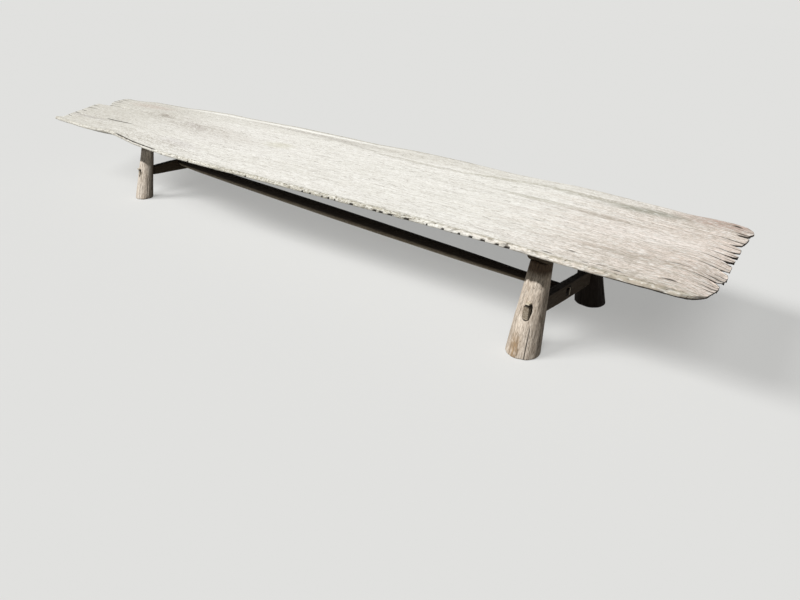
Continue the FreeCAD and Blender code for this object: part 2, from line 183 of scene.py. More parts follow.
world = bpy.data.worlds.new("studio")
tree = empty_tree(world)
lighting = add(tree, "ShaderNodeBackground", {"Color": linear("ffffff"), "Strength": SKY_LEVEL})
backdrop = add(tree, "ShaderNodeBackground", {"Color": linear(PALE), "Strength": 1})
sky = shader_mix(tree, seen_directly(tree), lighting, backdrop)
add(tree, "ShaderNodeOutputWorld", {"Surface": sky.outputs[0]})
scene.world = world

floor_paint = bpy.data.materials.new("pale_studio_floor")
tree = empty_tree(floor_paint)
glow = add(tree, "ShaderNodeEmission", {"Color": linear(PALE), "Strength": 1})
lit = add(tree, "ShaderNodeBsdfDiffuse", {"Color": linear(PALE)})
shown = shader_mix(tree, GLOW_SHARE, lit, glow)
quiet = add(tree, "ShaderNodeBsdfDiffuse", {"Color": linear(FLOOR_BOUNCE)})
floor_mix = shader_mix(tree, seen_directly(tree), quiet, shown)
add(tree, "ShaderNodeOutputMaterial", {"Surface": floor_mix.outputs[0]})

floor_mesh = bpy.data.meshes.new("floor")
floor_corners = [(x * FLOOR_REACH, y * FLOOR_REACH, 0) for x, y in ((-1, -1), (1, -1), (1, 1), (-1, 1))]
floor_mesh.from_pydata(floor_corners, [], [(0, 1, 2, 3)])
floor_mesh.materials.append(floor_paint)
floor = add_object("floor", floor_mesh)


def set_reach(sun, thing, state):
    """Let a sun light a thing alone (INCLUDE) or all but that thing (EXCLUDE)."""
    reach = sun.light_linking.receiver_collection
    reach.objects.link(thing)
    reach.collection_objects[-1].light_linking.link_state = state


suns = {}
for name, (across, back, width, share) in SUNS.items():
    lamp = bpy.data.lights.new(name, "SUN")
    lamp.energy = SUN_LEVEL * share
    lamp.angle = np.radians(width)
    sun = add_object(name, lamp)
    way = Vector((across, back, -1.0)).normalized()
    sun.rotation_euler = (-way).to_track_quat("Z", "Y").to_euler()
    sun.light_linking.receiver_collection = bpy.data.collections.new(f"{name}_reach")
    suns[name] = sun
    print(name, "shines along", [round(number, 2) for number in way])
set_reach(suns["bench_sun"], floor, "EXCLUDE")
for name, sun in suns.items():
    if name.startswith("floor"):
        set_reach(sun, floor, "INCLUDE")

# %% [markdown]
# ## Shaping tools
#
# Worn wood is never regular, but it isn't random either: it wanders slowly along the grain and
# quickly across it. A table of random heights, read with a soft step between its cells, gives such
# a wandering number at any place, the same at every run. Stretching its cells along the grain gives
# fibres, and wide cells give the slow rise and fall of a hand-worked face.

# %% Soft steps, wandering heights and a curve through corners
MM = 0.001
TABLE_CELLS = (61, 67)


def soft_step(t):
    """Rises from 0 to 1 as t does, level at both ends."""
    t = np.clip(t, 0, 1)
    return t * t * (3 - 2 * t)


def ramp(place, start, run):
    """From 0 at the start to 1 a run further on; with a run below 0 it falls to 0 at the start."""
    return soft_step((place - start) / run)


def hump(distance):
    """1 at no distance, and almost nothing from a distance of 2 on."""
    return np.exp(-distance ** 2)


def mix(a, b, share):
    return a + (b - a) * share


def wander(seed, x, y, repeat=TABLE_CELLS[0]):
    """A smooth number from -1 to 1 that changes over about one unit of x and of y."""
    table = np.random.default_rng(seed).uniform(-1, 1, (repeat, TABLE_CELLS[1]))
    x, y = np.broadcast_arrays(x, y)
    column = np.floor(x).astype(int)
    row = np.floor(y).astype(int)
    side = soft_step(x - column)
    height = soft_step(y - row)

    def corner(i, j):
        return table[(column + i) % repeat, (row + j) % TABLE_CELLS[1]]

    return mix(mix(corner(0, 0), corner(1, 0), side), mix(corner(0, 1), corner(1, 1), side), height)


def apart(x, y, middle, reach):
    """How far a place lies from a middle, counted in a reach along x and one along y."""
    return np.hypot((x - middle[0]) / reach[0], (y - middle[1]) / reach[1])


def wave(x, y, seed, depth, length, width):
    """Wandering dips of a depth, in cells that are so long along x and so wide along y."""
    return depth * (1 + wander(seed, x / length, y / width))


def eased(places, values, softness):
    """A curve through the given corners that rounds each one over about the softness."""
    spread = 3 * softness
    step = softness / 6
    fine = np.arange(places[0] - 2 * spread, places[-1] + 2 * spread, step)
    weights = np.exp(-0.5 * (np.arange(-spread, spread + step / 2, step) / softness) ** 2)
    reach = len(weights) // 2
    padded = np.pad(np.interp(fine, places, values), reach, mode="edge")
    rounded = np.convolve(padded, weights / weights.sum(), mode="valid")[:len(fine)]
    return lambda place: np.interp(place, fine, rounded)


# %% [markdown]
# A piece is made as one array of points and one list of faces. Numbers that the material will need,
# such as how deep a crack is there, are kept on the points as named marks.

# %% Making a piece
def sheet_faces(start, rows, columns, ring=False):
    """The four-cornered faces of a sheet of points; a ring closes on its first column."""
    row, column = np.mgrid[0:rows - 1, 0:columns if ring else columns - 1]
    following = (column + 1) % columns
    corners = (row * columns + column, row * columns + following,
               (row + 1) * columns + following, (row + 1) * columns + column)
    return (start + np.stack(corners, -1).reshape(-1, 4)).tolist()


def keep_mark(mesh, mark, values):
    values = np.asarray(values, np.float32)
    kind, field = ("FLOAT", "value") if values.ndim == 1 else ("FLOAT_VECTOR", "vector")
    mesh.attributes.new(mark, kind, "POINT").data.foreach_set(field, values.ravel())


def make_piece(name, points, faces, marks=None):
    mesh = bpy.data.meshes.new(name)
    mesh.from_pydata(np.asarray(points).tolist(), [], faces)
    for mark, values in (marks or {}).items():
        keep_mark(mesh, mark, values)
    mesh.shade_smooth()
    return add_object(name, mesh)


def put_in_place(piece, slot, *nodes):
    """The piece stands for its solids, moves with the bench and takes its slot's finish."""
    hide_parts(*nodes)
    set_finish(piece, slot)
    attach(piece, "root")
    piece.data.calc_loop_triangles()
    print(f"{piece.name}: {len(piece.data.vertices)} points, {len(piece.data.loop_triangles)} triangles")
    return piece


def mesh_points(mesh):
    """The points of a mesh, one row each."""
    points = np.empty(len(mesh.vertices) * 3)
    mesh.vertices.foreach_get("co", points)
    return points.reshape(-1, 3)


def solid_points(node):
    return mesh_points(frame["nodes"][node].data)


# %% [markdown]
# ## The board's outline
#
# A natural-edged board has no straight side: it keeps the swellings of the trunk it came from. Its
# outline could be drawn again here, but the solid model already has it, as the widest line of the
# board's edge. The corners of that line are walked in order, cut into the two long sides and the
# two ends, and joined by curves: soft ones along the sides, and almost sharp ones along the ends,
# where the weather has opened the wood into teeth.

# %% The widest line of the board
CORNER_PLACES = {"front_left": (-1.70, -0.41), "front_right": (2.02, -0.35),
                 "back_right": (2.03, 0.35), "back_left": (-2.00, 0.26)}
SIDE_SOFTNESS = 22 * MM
RIGHT_END_SOFTNESS = 1.6 * MM
LEFT_END_SOFTNESS = 5 * MM


def outline_of(node, height):
    """The corners of a solid's level outline at a height, in order, seen from above."""
    mesh = frame["nodes"][node].data
    spots = [tuple(np.round(vertex.co, 5)) for vertex in mesh.vertices]
    beside = {}
    for edge in mesh.edges:
        first, second = (spots[index] for index in edge.vertices)
        if first != second and max(abs(first[2] - height), abs(second[2] - height)) < 0.1 * MM:
            beside.setdefault(first, set()).add(second)
            beside.setdefault(second, set()).add(first)
    loop = [min(beside)]
    while len(loop) < len(beside):
        loop.append(next(spot for spot in sorted(beside[loop[-1]]) if spot not in loop[-2:]))
    loop = np.array(loop)[:, :2]
    turning = np.sum(loop[:, 0] * np.roll(loop[:, 1], -1) - loop[:, 1] * np.roll(loop[:, 0], -1))
    return loop if turning > 0 else loop[::-1]


def rising(places, values):
    """Only the corners that lie further on than all before them, so that a curve can pass."""
    keep = np.r_[True, places[1:] > np.maximum.accumulate(places)[:-1]]
    return places[keep], values[keep]


board_points = solid_points("seat_board")
board_low, board_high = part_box("seat_board")
nose_height = board_points[board_points[:, 0].argmin(), 2]
outline = outline_of("seat_board", nose_height)
corner_index = {corner: int(np.hypot(*(outline - place).T).argmin())
                for corner, place in CORNER_PLACES.items()}


def stretch(first, last):
    """The outline's corners from one named corner to the next, both with it."""
    count = (corner_index[last] - corner_index[first]) % len(outline) + 1
    return outline[(corner_index[first] + np.arange(count)) % len(outline)]


front_side = stretch("front_left", "front_right")
right_end = stretch("front_right", "back_right")
back_side = stretch("back_right", "back_left")[::-1]
left_end = stretch("back_left", "front_left")[::-1]
front_line = eased(*rising(front_side[:, 0], front_side[:, 1]), SIDE_SOFTNESS)
back_line = eased(*rising(back_side[:, 0], back_side[:, 1]), SIDE_SOFTNESS)
right_line = eased(*rising(right_end[:, 1], right_end[:, 0]), RIGHT_END_SOFTNESS)
left_line = eased(*rising(left_end[:, 1], left_end[:, 0]), LEFT_END_SOFTNESS)
print("outline corners", len(outline), "nose height", round(float(nose_height), 4))

# %% [markdown]
# ## The board
#
# The plank is the piece that everyone looks at, so it gets most of the points. It could be carved
# from the solid with a displacement, but then a crack could only be as sharp as the grid happens to
# be there. Instead the sheet of points is laid along the grain, as the wood itself grew: every row
# runs from one end to the other between the two long sides. A check in the wood then lies along a
# row, and four rows close together cut it crisply. Columns are closer near the two worn ends.
#
# A row is named by its share of the width, and a column by its share of the length. The rows fan
# out and draw together with the two sides, as the grain does, and that same share is kept on the
# points as the grain's own place, for the material to follow.

# %% Rows and columns of the board
ROW_STEP = 8 * MM
EDGE_ROW_STEP = 3.6 * MM
EDGE_ROWS_REACH = 40 * MM
COLUMN_STEP = 14 * MM
END_COLUMN_STEP = 4.5 * MM
END_COLUMNS_REACH = 90 * MM
END_EASE_SHARE = 0.2
# A row's place at a worn end is found by going there again and again, each time nearer
END_ROUNDS = 8
FINE_PLACES = 4000

board_length = board_high.x - board_low.x
usual_width = np.mean(back_line(right_end[:, 0]) - front_line(right_end[:, 0]))


def end_of_row(line, row, inset, way, end_share):
    """Where a row meets an end of the board."""
    place = np.full_like(row, np.mean((front_line(0), back_line(0))))
    for _ in range(END_ROUNDS):
        along = line(place) + way * inset * end_share
        place = mix(front_line(along) + inset, back_line(along) - inset, row)
    return along


def spot_on_board(column, row, inset, end_share=1.0):
    """The level place of a column and a row, drawn in from the outline by an inset."""
    left = end_of_row(left_line, row, inset, 1, end_share)
    right_x = end_of_row(right_line, row, inset, -1, end_share)
    x = mix(left, right_x, column)
    return x, mix(front_line(x) + inset, back_line(x) - inset, row)


def spaced(length, usual, near_ends, reach_low, reach_high):
    """Shares from 0 to 1 whose steps are finer within a reach of either end."""
    fine = np.linspace(0, length, FINE_PLACES)
    dense = np.minimum(fine / max(reach_low, MM), (length - fine) / max(reach_high, MM))
    steps = mix(near_ends, usual, soft_step(dense - 0.5))
    count = np.concatenate([[0], np.cumsum(np.diff(fine) / steps[1:])])
    return np.interp(np.linspace(0, count[-1], int(count[-1]) + 1), count, fine) / length


# %% [markdown]
# The checks and splits are listed one by one, because each one in the picture has its own place: the
# place across the board where it reaches the end, how far it runs in, how wide its mouth is and how
# deep it goes. The long cracks on the face are listed by where they start and stop.

# %% Checks, splits and cracks
# Each: place across at the end, length, width, depth, all in mm
RIGHT_CHECKS_MM = [
    (-252, 34, 2.4, 3), (-228, 50, 2.6, 4), (-204, 42, 2.8, 5), (-169, 74, 2.8, 10), (-140, 58, 2.6, 8),
    (-112, 46, 2.6, 8), (-72, 70, 3.2, 12), (-44, 84, 2.8, 10), (-18, 44, 2.6, 9), (1, 76, 3, 12),
    (22, 46, 2.6, 8), (44, 56, 3, 12), (63, 36, 2.6, 8), (82, 64, 3.2, 12), (118, 80, 2.6, 6),
    (147, 50, 3.2, 12), (186, 120, 2.4, 3.5), (254, 60, 5, 14), (312, 80, 2.6, 4),
]
LEFT_CHECKS_MM = [
    (-330, 60, 5, 8), (-262, 90, 6, 10), (-196, 70, 5, 9), (-120, 120, 6, 12), (-52, 90, 8, 14),
    (6, 260, 11, 26), (64, 110, 7, 12), (122, 160, 6, 12), (170, 90, 6, 10), (214, 130, 7, 12),
]
# Each: where it starts and stops along the board, its place across at the start, width, depth
FACE_CRACKS_MM = [
    (-1425, -1130, -228, 6, 5), (-1740, -1480, -270, 4, 1.2), (1954, 2004, -275, 7, 10),
    (1664, 1698, -264, 6, 9), (1826, 1864, -318, 6, 8), (1734, 1768, -322, 5, 7), (1776, 1806, -309, 4, 5),
    (1604, 1650, -328, 4, 5), (1925, 2010, -138, 3, 2.5), (1966, 1980, -94, 7, 7), (1966, 1985, -52, 4, 4),
    (1822, 1840, -130, 4, 3), (1978, 2018, 358, 11, 10), (2004, 2062, 286, 5, 6), (1628, 1646, 283, 6, 4),
    (1560, 1960, 200, 3, 1.4), (728, 748, 122, 6, 3), (932, 954, 24, 6, 2.5),
]
# Small dark holes in the front edge, just above its lower lip: middle and half length in mm
LIP_HOLES_MM = [
    (-166, 5), (237, 5), (581, 5), (624, 5), (690, 4), (724, 5), (757, 4), (841, 9), (955, 8), (984, 9),
    (1028, 11), (1100, 10), (1190, 4), (1256, 6), (1323, 5), (1368, 7), (1414, 9), (1468, 7), (1505, 9),
]
# An opening has a row at each lip and one at the foot of each wall, as shares of its half width,
# and a hole has a column at each edge and one on either side of its deepest part
OPENING_ROWS = np.array([-1, -0.5, 0.5, 1])
HOLE_EDGE, HOLE_FULL = 1.3, 0.7
HOLE_COLUMNS = np.array([-HOLE_EDGE, -HOLE_FULL, HOLE_FULL, HOLE_EDGE])
# How near to an opening, in its half widths, the usual rows and columns are left out
NO_ROWS = 1.6
NO_COLUMNS = 1.7
# What is left of the board between its front edge and a crack
CRACK_MARGIN_MM = 0.4


def share_across(x, y):
    return (y - front_line(x)) / (back_line(x) - front_line(x))


checks = []
for line, table, way in ((right_line, RIGHT_CHECKS_MM, 1), (left_line, LEFT_CHECKS_MM, -1)):
    for across, length, width, depth in table:
        mouth = float(line(across * MM))
        checks.append({"row": float(share_across(mouth, across * MM)), "mouth": mouth, "way": way,
                       "length": length * MM, "width": width * MM, "depth": depth * MM})
cracks = []
for start, stop, across, width, depth in FACE_CRACKS_MM:
    inmost = (width / 2 + CRACK_MARGIN_MM) * MM / usual_width
    cracks.append({"row": max(float(share_across(start * MM, across * MM)), inmost), "start": start * MM,
                   "stop": stop * MM, "width": width * MM, "depth": depth * MM})

rows = spaced(usual_width, ROW_STEP, EDGE_ROW_STEP, EDGE_ROWS_REACH, 2 * ROW_STEP)
for opening in checks + cracks:
    half = opening["width"] / 2 / usual_width
    rows = rows[np.abs(rows - opening["row"]) > NO_ROWS * half]
    rows = np.sort(np.r_[rows, opening["row"] + OPENING_ROWS * half])
columns = spaced(board_length, COLUMN_STEP, END_COLUMN_STEP, END_COLUMNS_REACH, END_COLUMNS_REACH)
front_ends = [end_of_row(line, np.zeros(1), 0, 0, 0)[0] for line in (left_line, right_line)]
for middle, half in LIP_HOLES_MM:
    share = (middle * MM - front_ends[0]) / (front_ends[1] - front_ends[0])
    half = half * MM / (front_ends[1] - front_ends[0])
    columns = columns[np.abs(columns - share) > NO_COLUMNS * half]
    columns = np.sort(np.r_[columns, share + HOLE_COLUMNS * half])
print("board rows", len(rows), "columns", len(columns), "checks and cracks", len(checks) + len(cracks))

# %% [markdown]
# The relief is how far the worn face lies below the board's highest level. Slow waves across the
# width, a fine grain, a rough band along the front edge, small pits, the knot's rings, a ledge near
# the back edge and the openings above are added up. The right end also droops, as end grain does
# where rain stands in it longest.

# %% Measures of the relief
# The waves of the face: seed, depth, and the length and width of a cell
GRAIN = (11, 0.30 * MM, 0.13, 8 * MM)
SWELL = (12, 0.5 * MM, 0.5, 30 * MM)
DISH = (13, 1.1 * MM, 1.1, 0.2)
# The rough band along the front edge: how wide it is, how deep it crumbles, and the cell of a crumb
ROUGH_BAND = 48 * MM
CRUMBLE = 2.2 * MM
CRUMB = (26 * MM, 6 * MM)
# Pits: how many, where along the board, how wide the band along the front edge is that holds most of
# them, and the least and most of their half width in mm, their length in widths and their depth in
# mm. One in six strays over the face and is shallower, and so are all near the right end
PIT_COUNT = 420
PIT_SPAN = (-1.6, 2.02)
PIT_BAND = 50 * MM
PIT_SIZES = (2, 3.6)
PIT_STRETCH = (1.5, 5.0)
PIT_DEPTHS = (1.5, 4.0)
STRAY_GAPS = (0.06, 0.75)
STRAY_DEPTHS = (0.5, 1.5)
FLAT_PITS_FROM = 1.55
# The large knot: its middle, its reach along and across, and the width of its rings
KNOT_PLACE = (-1.25, 0.08)
KNOT_REACH = (95 * MM, 48 * MM)
KNOT_RING = 15 * MM
# Place across and how far the right end has worn down there, in mm
RIGHT_DROOP_MM = [(-350, 5), (-300, 6), (-200, 10), (-110, 13), (-40, 11), (30, 8), (90, 5), (150, 3),
                  (230, 0)]
DROOP_REACH = 95 * MM
EVEN_END_ACROSS = 0.2
DROOP_START = float(right_line(EVEN_END_ACROSS)) - DROOP_REACH
# The ledge near the back edge: its place along and its share of the width, its depth, its width and
# the run over which it ends on the right
LEDGE_LINE = [(-1.75, 0.80), (-1.3, 0.879), (-0.86, 0.90), (-0.41, 0.92), (-0.09, 0.935), (0.5, 0.95)]
LEDGE_DEPTH = 3.2 * MM
LEDGE_WIDTH = 7 * MM
LEDGE_END = (0.48, -0.3)
# How far the painted shade of an opening reaches past its lips, in quarters of its width
LIP_SHADE = 0.45
# Both ends of a crack taper, and one longer than this breaks off here and there
CRACK_TAPER = 25 * MM
LONG_CRACK = 0.1
CRACK_BREAKS = 90 * MM
# From these depths on, a crack and a pit are painted fully dark as shade
DARK_CRACK = 5 * MM
DARK_PIT = 4.5 * MM


# %% Openings and pits
def opening_depth(x, row):
    """How deep the checks and the cracks are at a place, and how dark their painted shade is, lips and
    all.
    """
    depth = np.zeros_like(x)
    dark = np.zeros_like(x)

    def cut_in(opening, share, shade):
        quarters = np.abs(row - opening["row"]) * usual_width / (opening["width"] / 4)
        np.maximum(depth, opening["depth"] * share * np.clip(2 - quarters, 0, 1), out=depth)
        np.maximum(dark, shade * share * np.clip(2 + LIP_SHADE - quarters, 0, 1), out=dark)

    for check in checks:
        ahead_of_tip = 1 - check["way"] * (check["mouth"] - x) / check["length"]
        cut_in(check, np.sqrt(np.clip(ahead_of_tip, 0, 1)), 1)
    for number, crack in enumerate(cracks):
        inside = np.clip(np.minimum(x - crack["start"], crack["stop"] - x) / CRACK_TAPER, 0, 1)
        long_one = crack["stop"] - crack["start"] > LONG_CRACK
        broken = soft_step(0.75 + wander(300 + number, x / CRACK_BREAKS, 0)) if long_one else 1
        cut_in(crack, np.sqrt(inside) * broken, min(crack["depth"] / DARK_CRACK, 1))
    return depth, dark


def pit_depth(x, front_gap):
    """Small pits, most of them in the rough band along the front edge."""
    chance = np.random.default_rng(21)
    depth = np.zeros_like(x)
    for number in range(PIT_COUNT):
        stray = number % 6 == 0
        along = chance.uniform(*PIT_SPAN)
        gap = chance.uniform(*STRAY_GAPS) if stray else chance.uniform(0.0, 1.0) ** 1.5 * PIT_BAND
        size = chance.uniform(*PIT_SIZES) * MM
        long_size = size * chance.uniform(*PIT_STRETCH)
        deep = chance.uniform(*(STRAY_DEPTHS if stray else PIT_DEPTHS)) * MM
        deep = deep if along < FLAT_PITS_FROM else 0.4 * deep
        near = np.abs(x[len(x) // 2] - along) < 4 * long_size
        away = ((x[:, near] - along) / long_size) ** 2 + ((front_gap[:, near] - gap) / size) ** 2
        depth[:, near] += deep * np.exp(-np.minimum(away, 30))
    return depth


# %% Relief of the upper face
def relief(x, y, row):
    """How far the worn face lies below the highest level, and how dark its openings, pits and crumbles are
    painted as shade.
    """
    front_gap = y - front_line(x)
    across = row * usual_width
    waves = wave(x, across, *GRAIN) + wave(x, across, *SWELL) + wave(x, y, *DISH)
    patchy = soft_step(0.6 + 0.6 * wander(15, x / 0.25, 0))
    rough = ramp(front_gap, ROUGH_BAND, -0.7 * ROUGH_BAND) * patchy
    crumble = rough * CRUMBLE * np.clip(wander(14, x / CRUMB[0], front_gap / CRUMB[1]), 0, 1)
    away = apart(x, y, KNOT_PLACE, KNOT_REACH)
    rings = np.cos(2 * np.pi * away * KNOT_REACH[1] / KNOT_RING)
    knot = hump(away) * MM * (1.4 + 0.8 * rings)
    ledge_places, ledge_rows = np.array(LEDGE_LINE).T
    past_ledge = (row - np.interp(x, ledge_places, ledge_rows)) * usual_width
    ledge = LEDGE_DEPTH * ramp(past_ledge, 0, LEDGE_WIDTH) * ramp(x, *LEDGE_END)
    openings, dark = opening_depth(x, row)
    pits = pit_depth(x, front_gap)
    # Painted shade: dark in the openings and pits, and a little in the crumbled band
    painted_deep_shade = np.clip(dark + pits / DARK_PIT + 0.3 * crumble / CRUMBLE, 0, 1)
    return waves + crumble + knot + ledge + pits + openings, painted_deep_shade


def droop(x, y):
    """How far the right end has worn down."""
    places, drops = np.array(RIGHT_DROOP_MM).T * MM
    past = np.clip((x - DROOP_START) / DROOP_REACH, 0, 1.2)
    return np.interp(y, places, drops) * past ** 2


# %% [markdown]
# The rim goes from the upper face over the nose and in under the board, in rings that follow the
# outline. On the front it is gnawed: the inset of each ring wanders, so that the edge isn't a
# machined band, and small holes open just above its lower lip. The underside only needs wide marks of
# the adze, so a few inner points are joined to the last ring of the rim by a triangulation, with far
# fewer faces than the upper face has.

# %% The rim and the underside
top_ease = 10 * MM
underside = board_points[board_points[:, 2] < board_low.z + 0.1 * MM]
under_ease = board_high.x - underside[:, 0].max()
nose_drop = board_high.z - nose_height
thickness = board_high.z - board_low.z
# Each ring of the rim: how much of the ease it is drawn in, and how much of the way down it lies, the
# upper four on the way from the face to the nose and the lower four on the way to the underside
UPPER_RINGS = [(0.50, 0.08), (0.18, 0.32), (0.03, 0.66), (0, 1)]
LOWER_RINGS = [(0.13, 0.10), (0.34, 0.32), (0.68, 0.66), (1, 1)]
RIM_RINGS = [(inset * top_ease, fall * nose_drop) for inset, fall in UPPER_RINGS]
RIM_RINGS += [(inset * under_ease, mix(nose_drop, thickness, fall)) for inset, fall in LOWER_RINGS]
# The gnawed edge: its depth, the length and width of a bite, and its share away from the front
GNAW = 1.1 * MM
BITE = (22 * MM, 60 * MM)
BACK_GNAW = 0.35
# The holes of the lip: their depth, and how much of them each ring of the rim has
HOLE_DEPTH = 4 * MM
HOLE_RINGS = {3: 0.5, 4: 1.0, 5: 0.6}
# The right end is thinner than the board's middle, but no thinner than the least edge
END_THINNING = 0.5
THIN_FROM = (0.02, 0.08)
THIN_TO = (1, -0.05)
LEAST_EDGE = 8 * MM
# How dark the painted shade of each form of the rim is, and from where over what run it sets in, ends or
# eases off
GNAW_SHADE = 0.22
END_SHADE = 1.0
END_SHADE_FROM = (-0.34, 0.1)
END_SHADE_EASES = (-0.14, 0.05)
LEFT_SPLIT_SHADE = 0.35
UNDER_LIP_SHADE = 0.8
UNDER_LIP_FROM = (1.78, 0.12)
# The painted line of shade that parts the front lip from the face in the left half, on one ring alone
LIP_LINE_SHADE = 0.85
LIP_LINE_FROM = (-0.98, 0.05)
LIP_LINE_TO = (-0.42, -0.08)
LIP_LINE_RING = 1
# The underside: the steps of its points, and how far in from the rim they start
UNDER_STEP = (26 * MM, 22 * MM)
UNDER_MARGIN = 12 * MM
# Marks of the adze: their depth, and for each kind its seed, its share and the size of its cells
ADZE_DEPTH = 1.3 * MM
ADZE_MARKS = [(31, 1, 70 * MM, 48 * MM), (32, 0.5, 30 * MM, 24 * MM)]
BEARER_REACH = 75 * MM


def under_relief(x, y):
    """Hollows of the adze under the board, none where the bearers lie."""
    marks = clear = np.ones_like(x)
    for seed, share, length, width in ADZE_MARKS:
        marks = marks + share * wander(seed, x / length, y / width)
    for end in ("left", "right"):
        low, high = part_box(f"{end}_bearer")
        middle = (low.x + high.x) / 2
        clear = clear * soft_step((np.abs(x - middle) - (high.x - low.x) / 2) / BEARER_REACH)
    return ADZE_DEPTH * np.clip(marks, 0, None) * clear


def rim_ring(number, column, row, drop, painted_deep_shade):
    """The points of one ring of the rim, and how dark each of them is painted as shade."""
    inset, fall = RIM_RINGS[number - 1]
    end_share = END_EASE_SHARE if fall < nose_drop else 1
    at_front, at_left, at_right = row < 0.5, column <= 0, column >= 1
    x, y = spot_on_board(column, row, inset, end_share)
    gnaw = GNAW * mix(BACK_GNAW, 1, soft_step((0.5 - row) * 50))
    gnaw = gnaw * np.clip(wander(40 + number, x / BITE[0], y / BITE[1]) + 0.05, 0, 1)
    holes = np.zeros_like(x)
    for middle, half in LIP_HOLES_MM:
        away = np.abs(x - middle * MM) / (half * MM)
        near = np.clip((HOLE_EDGE - away) / (HOLE_EDGE - HOLE_FULL), 0, 1)
        holes = np.maximum(holes, near * at_front * ~at_right)
    holes = holes * HOLE_RINGS.get(number, 0)
    inward = 0 if number == len(RIM_RINGS) else gnaw + HOLE_DEPTH * holes
    x, y = spot_on_board(column, row, inset + inward, end_share)

    left = 1 - number / len(RIM_RINGS)
    thin = END_THINNING * at_right * ramp(row, *THIN_FROM) * ramp(row, *THIN_TO)
    thin = np.clip(np.minimum(thin, 1 - (drop + LEAST_EDGE) / thickness), 0, 1)
    height = board_high.z - np.minimum(fall * (1 - thin) + drop * left ** 0.7, thickness)

    # Painted shade on the rim: a check's dark runs down it, the gnawed bites and the lip holes are dark,
    # the right end, which faces away from the light, is painted dark, and so are the lip's underside at
    # the right and a line along the left lip
    split = painted_deep_shade * left * mix(1, LEFT_SPLIT_SHADE, at_left)
    painted_end_shade = at_right * ramp(y, *END_SHADE_FROM) * mix(1, 0.5, ramp(y, *END_SHADE_EASES))
    dark = split + GNAW_SHADE * gnaw / GNAW + holes + END_SHADE * painted_end_shade * min(number / 3, 1)
    under_lip = at_front * ramp(x, *UNDER_LIP_FROM) * (number >= 4)
    lip_line = at_front * ~at_right * ramp(x, *LIP_LINE_FROM) * ramp(x, *LIP_LINE_TO)
    lip_line = lip_line * (number == LIP_LINE_RING)
    dark = np.clip(dark + UNDER_LIP_SHADE * under_lip + LIP_LINE_SHADE * lip_line, 0, 1)
    return np.stack([x, y, height], -1), dark


# %% [markdown]
# Each point also keeps what the material has to know of it: how much of the bark's colour is left
# there, how rough the weather has made it, and its own place in the grain, which bends round the
# knot. So a stain or a fibre can follow the wood instead of lying across it.

# %% Marks of the board
# Where each band sets in, and over what run it grows to its full strength; a run below 0 falls
BARK_LIP = (20.9 * MM, -11 * MM)
BARK_BAND = (55 * MM, -55 * MM)
BARK_FULL = (-0.7, 0.9)
CLEAN_LIP = (11.7 * MM, -9 * MM)
CLEAN_RIGHT = (1.05, 0.25)
BACK_BARK = (25.2 * MM, -14 * MM)
BACK_BARK_END = (1.4, -1)
WORN_RIGHT = (1.25, 0.7)
# The bright arris along the back edge: how far in it lies, how far it reaches, and its two ends
ARRIS_GAP = 42 * MM
ARRIS_REACH = 15 * MM
ARRIS_FROM = (-1.45, 0.2)
ARRIS_TO = (0.8, -0.5)
# A smoother strip along the right end: its place across and its half width
SMOOTH_STRIP = (0.04, 0.12)
# Where the face is rougher than elsewhere: the knots, and a hatched patch by the front edge
ROUGH_SPOTS = [((-1.27, 0.08), (0.22, 0.07), 1), ((-0.83, 0.02), (0.25, 0.08), 1),
               ((-0.6, -0.35), (0.4, 0.06), 0.8)]
# How far the grain wanders sideways and over what length and width it does, and its bend at a knot
FLOW = (7 * MM, 0.35, 0.16)
KNOT_BEND = 0.6


def bark_and_wear(x, y):
    """How much bark colour and how much rough weathering the board has at each place."""
    front_gap = y - front_line(x)
    back_gap = back_line(x) - y
    bark = 0.6 * ramp(front_gap, *BARK_LIP) + 0.2 * ramp(front_gap, *BARK_BAND)
    bark = bark * mix(0.4, 1, ramp(x, *BARK_FULL))
    bark = bark * (1 - 0.65 * ramp(front_gap, *CLEAN_LIP) * ramp(x, *CLEAN_RIGHT))
    bark += 0.8 * ramp(back_gap, *BACK_BARK) * ramp(x, *BACK_BARK_END)
    wear = 0.9 * ramp(x, *WORN_RIGHT) * (1 - 0.6 * hump((y - SMOOTH_STRIP[0]) / SMOOTH_STRIP[1]))
    for place, reach, strength in ROUGH_SPOTS:
        wear += strength * hump(apart(x, y, place, reach))
    arris = hump((back_gap - ARRIS_GAP) / ARRIS_REACH)
    return bark, wear - arris * ramp(x, *ARRIS_FROM) * ramp(x, *ARRIS_TO)


def board_marks(points, row, painted_deep_shade):
    x, y, z = points.T
    across = (row - 0.5) * usual_width
    across += FLOW[0] * wander(36, x / FLOW[1], y / FLOW[2])
    across -= KNOT_BEND * (y - KNOT_PLACE[1]) * hump(apart(x, y, KNOT_PLACE, KNOT_REACH))
    bark, wear = bark_and_wear(x, y)
    return {"painted_deep_shade": painted_deep_shade, "bark": bark, "wear": wear, "timber": np.stack([x, across, z], -1)}


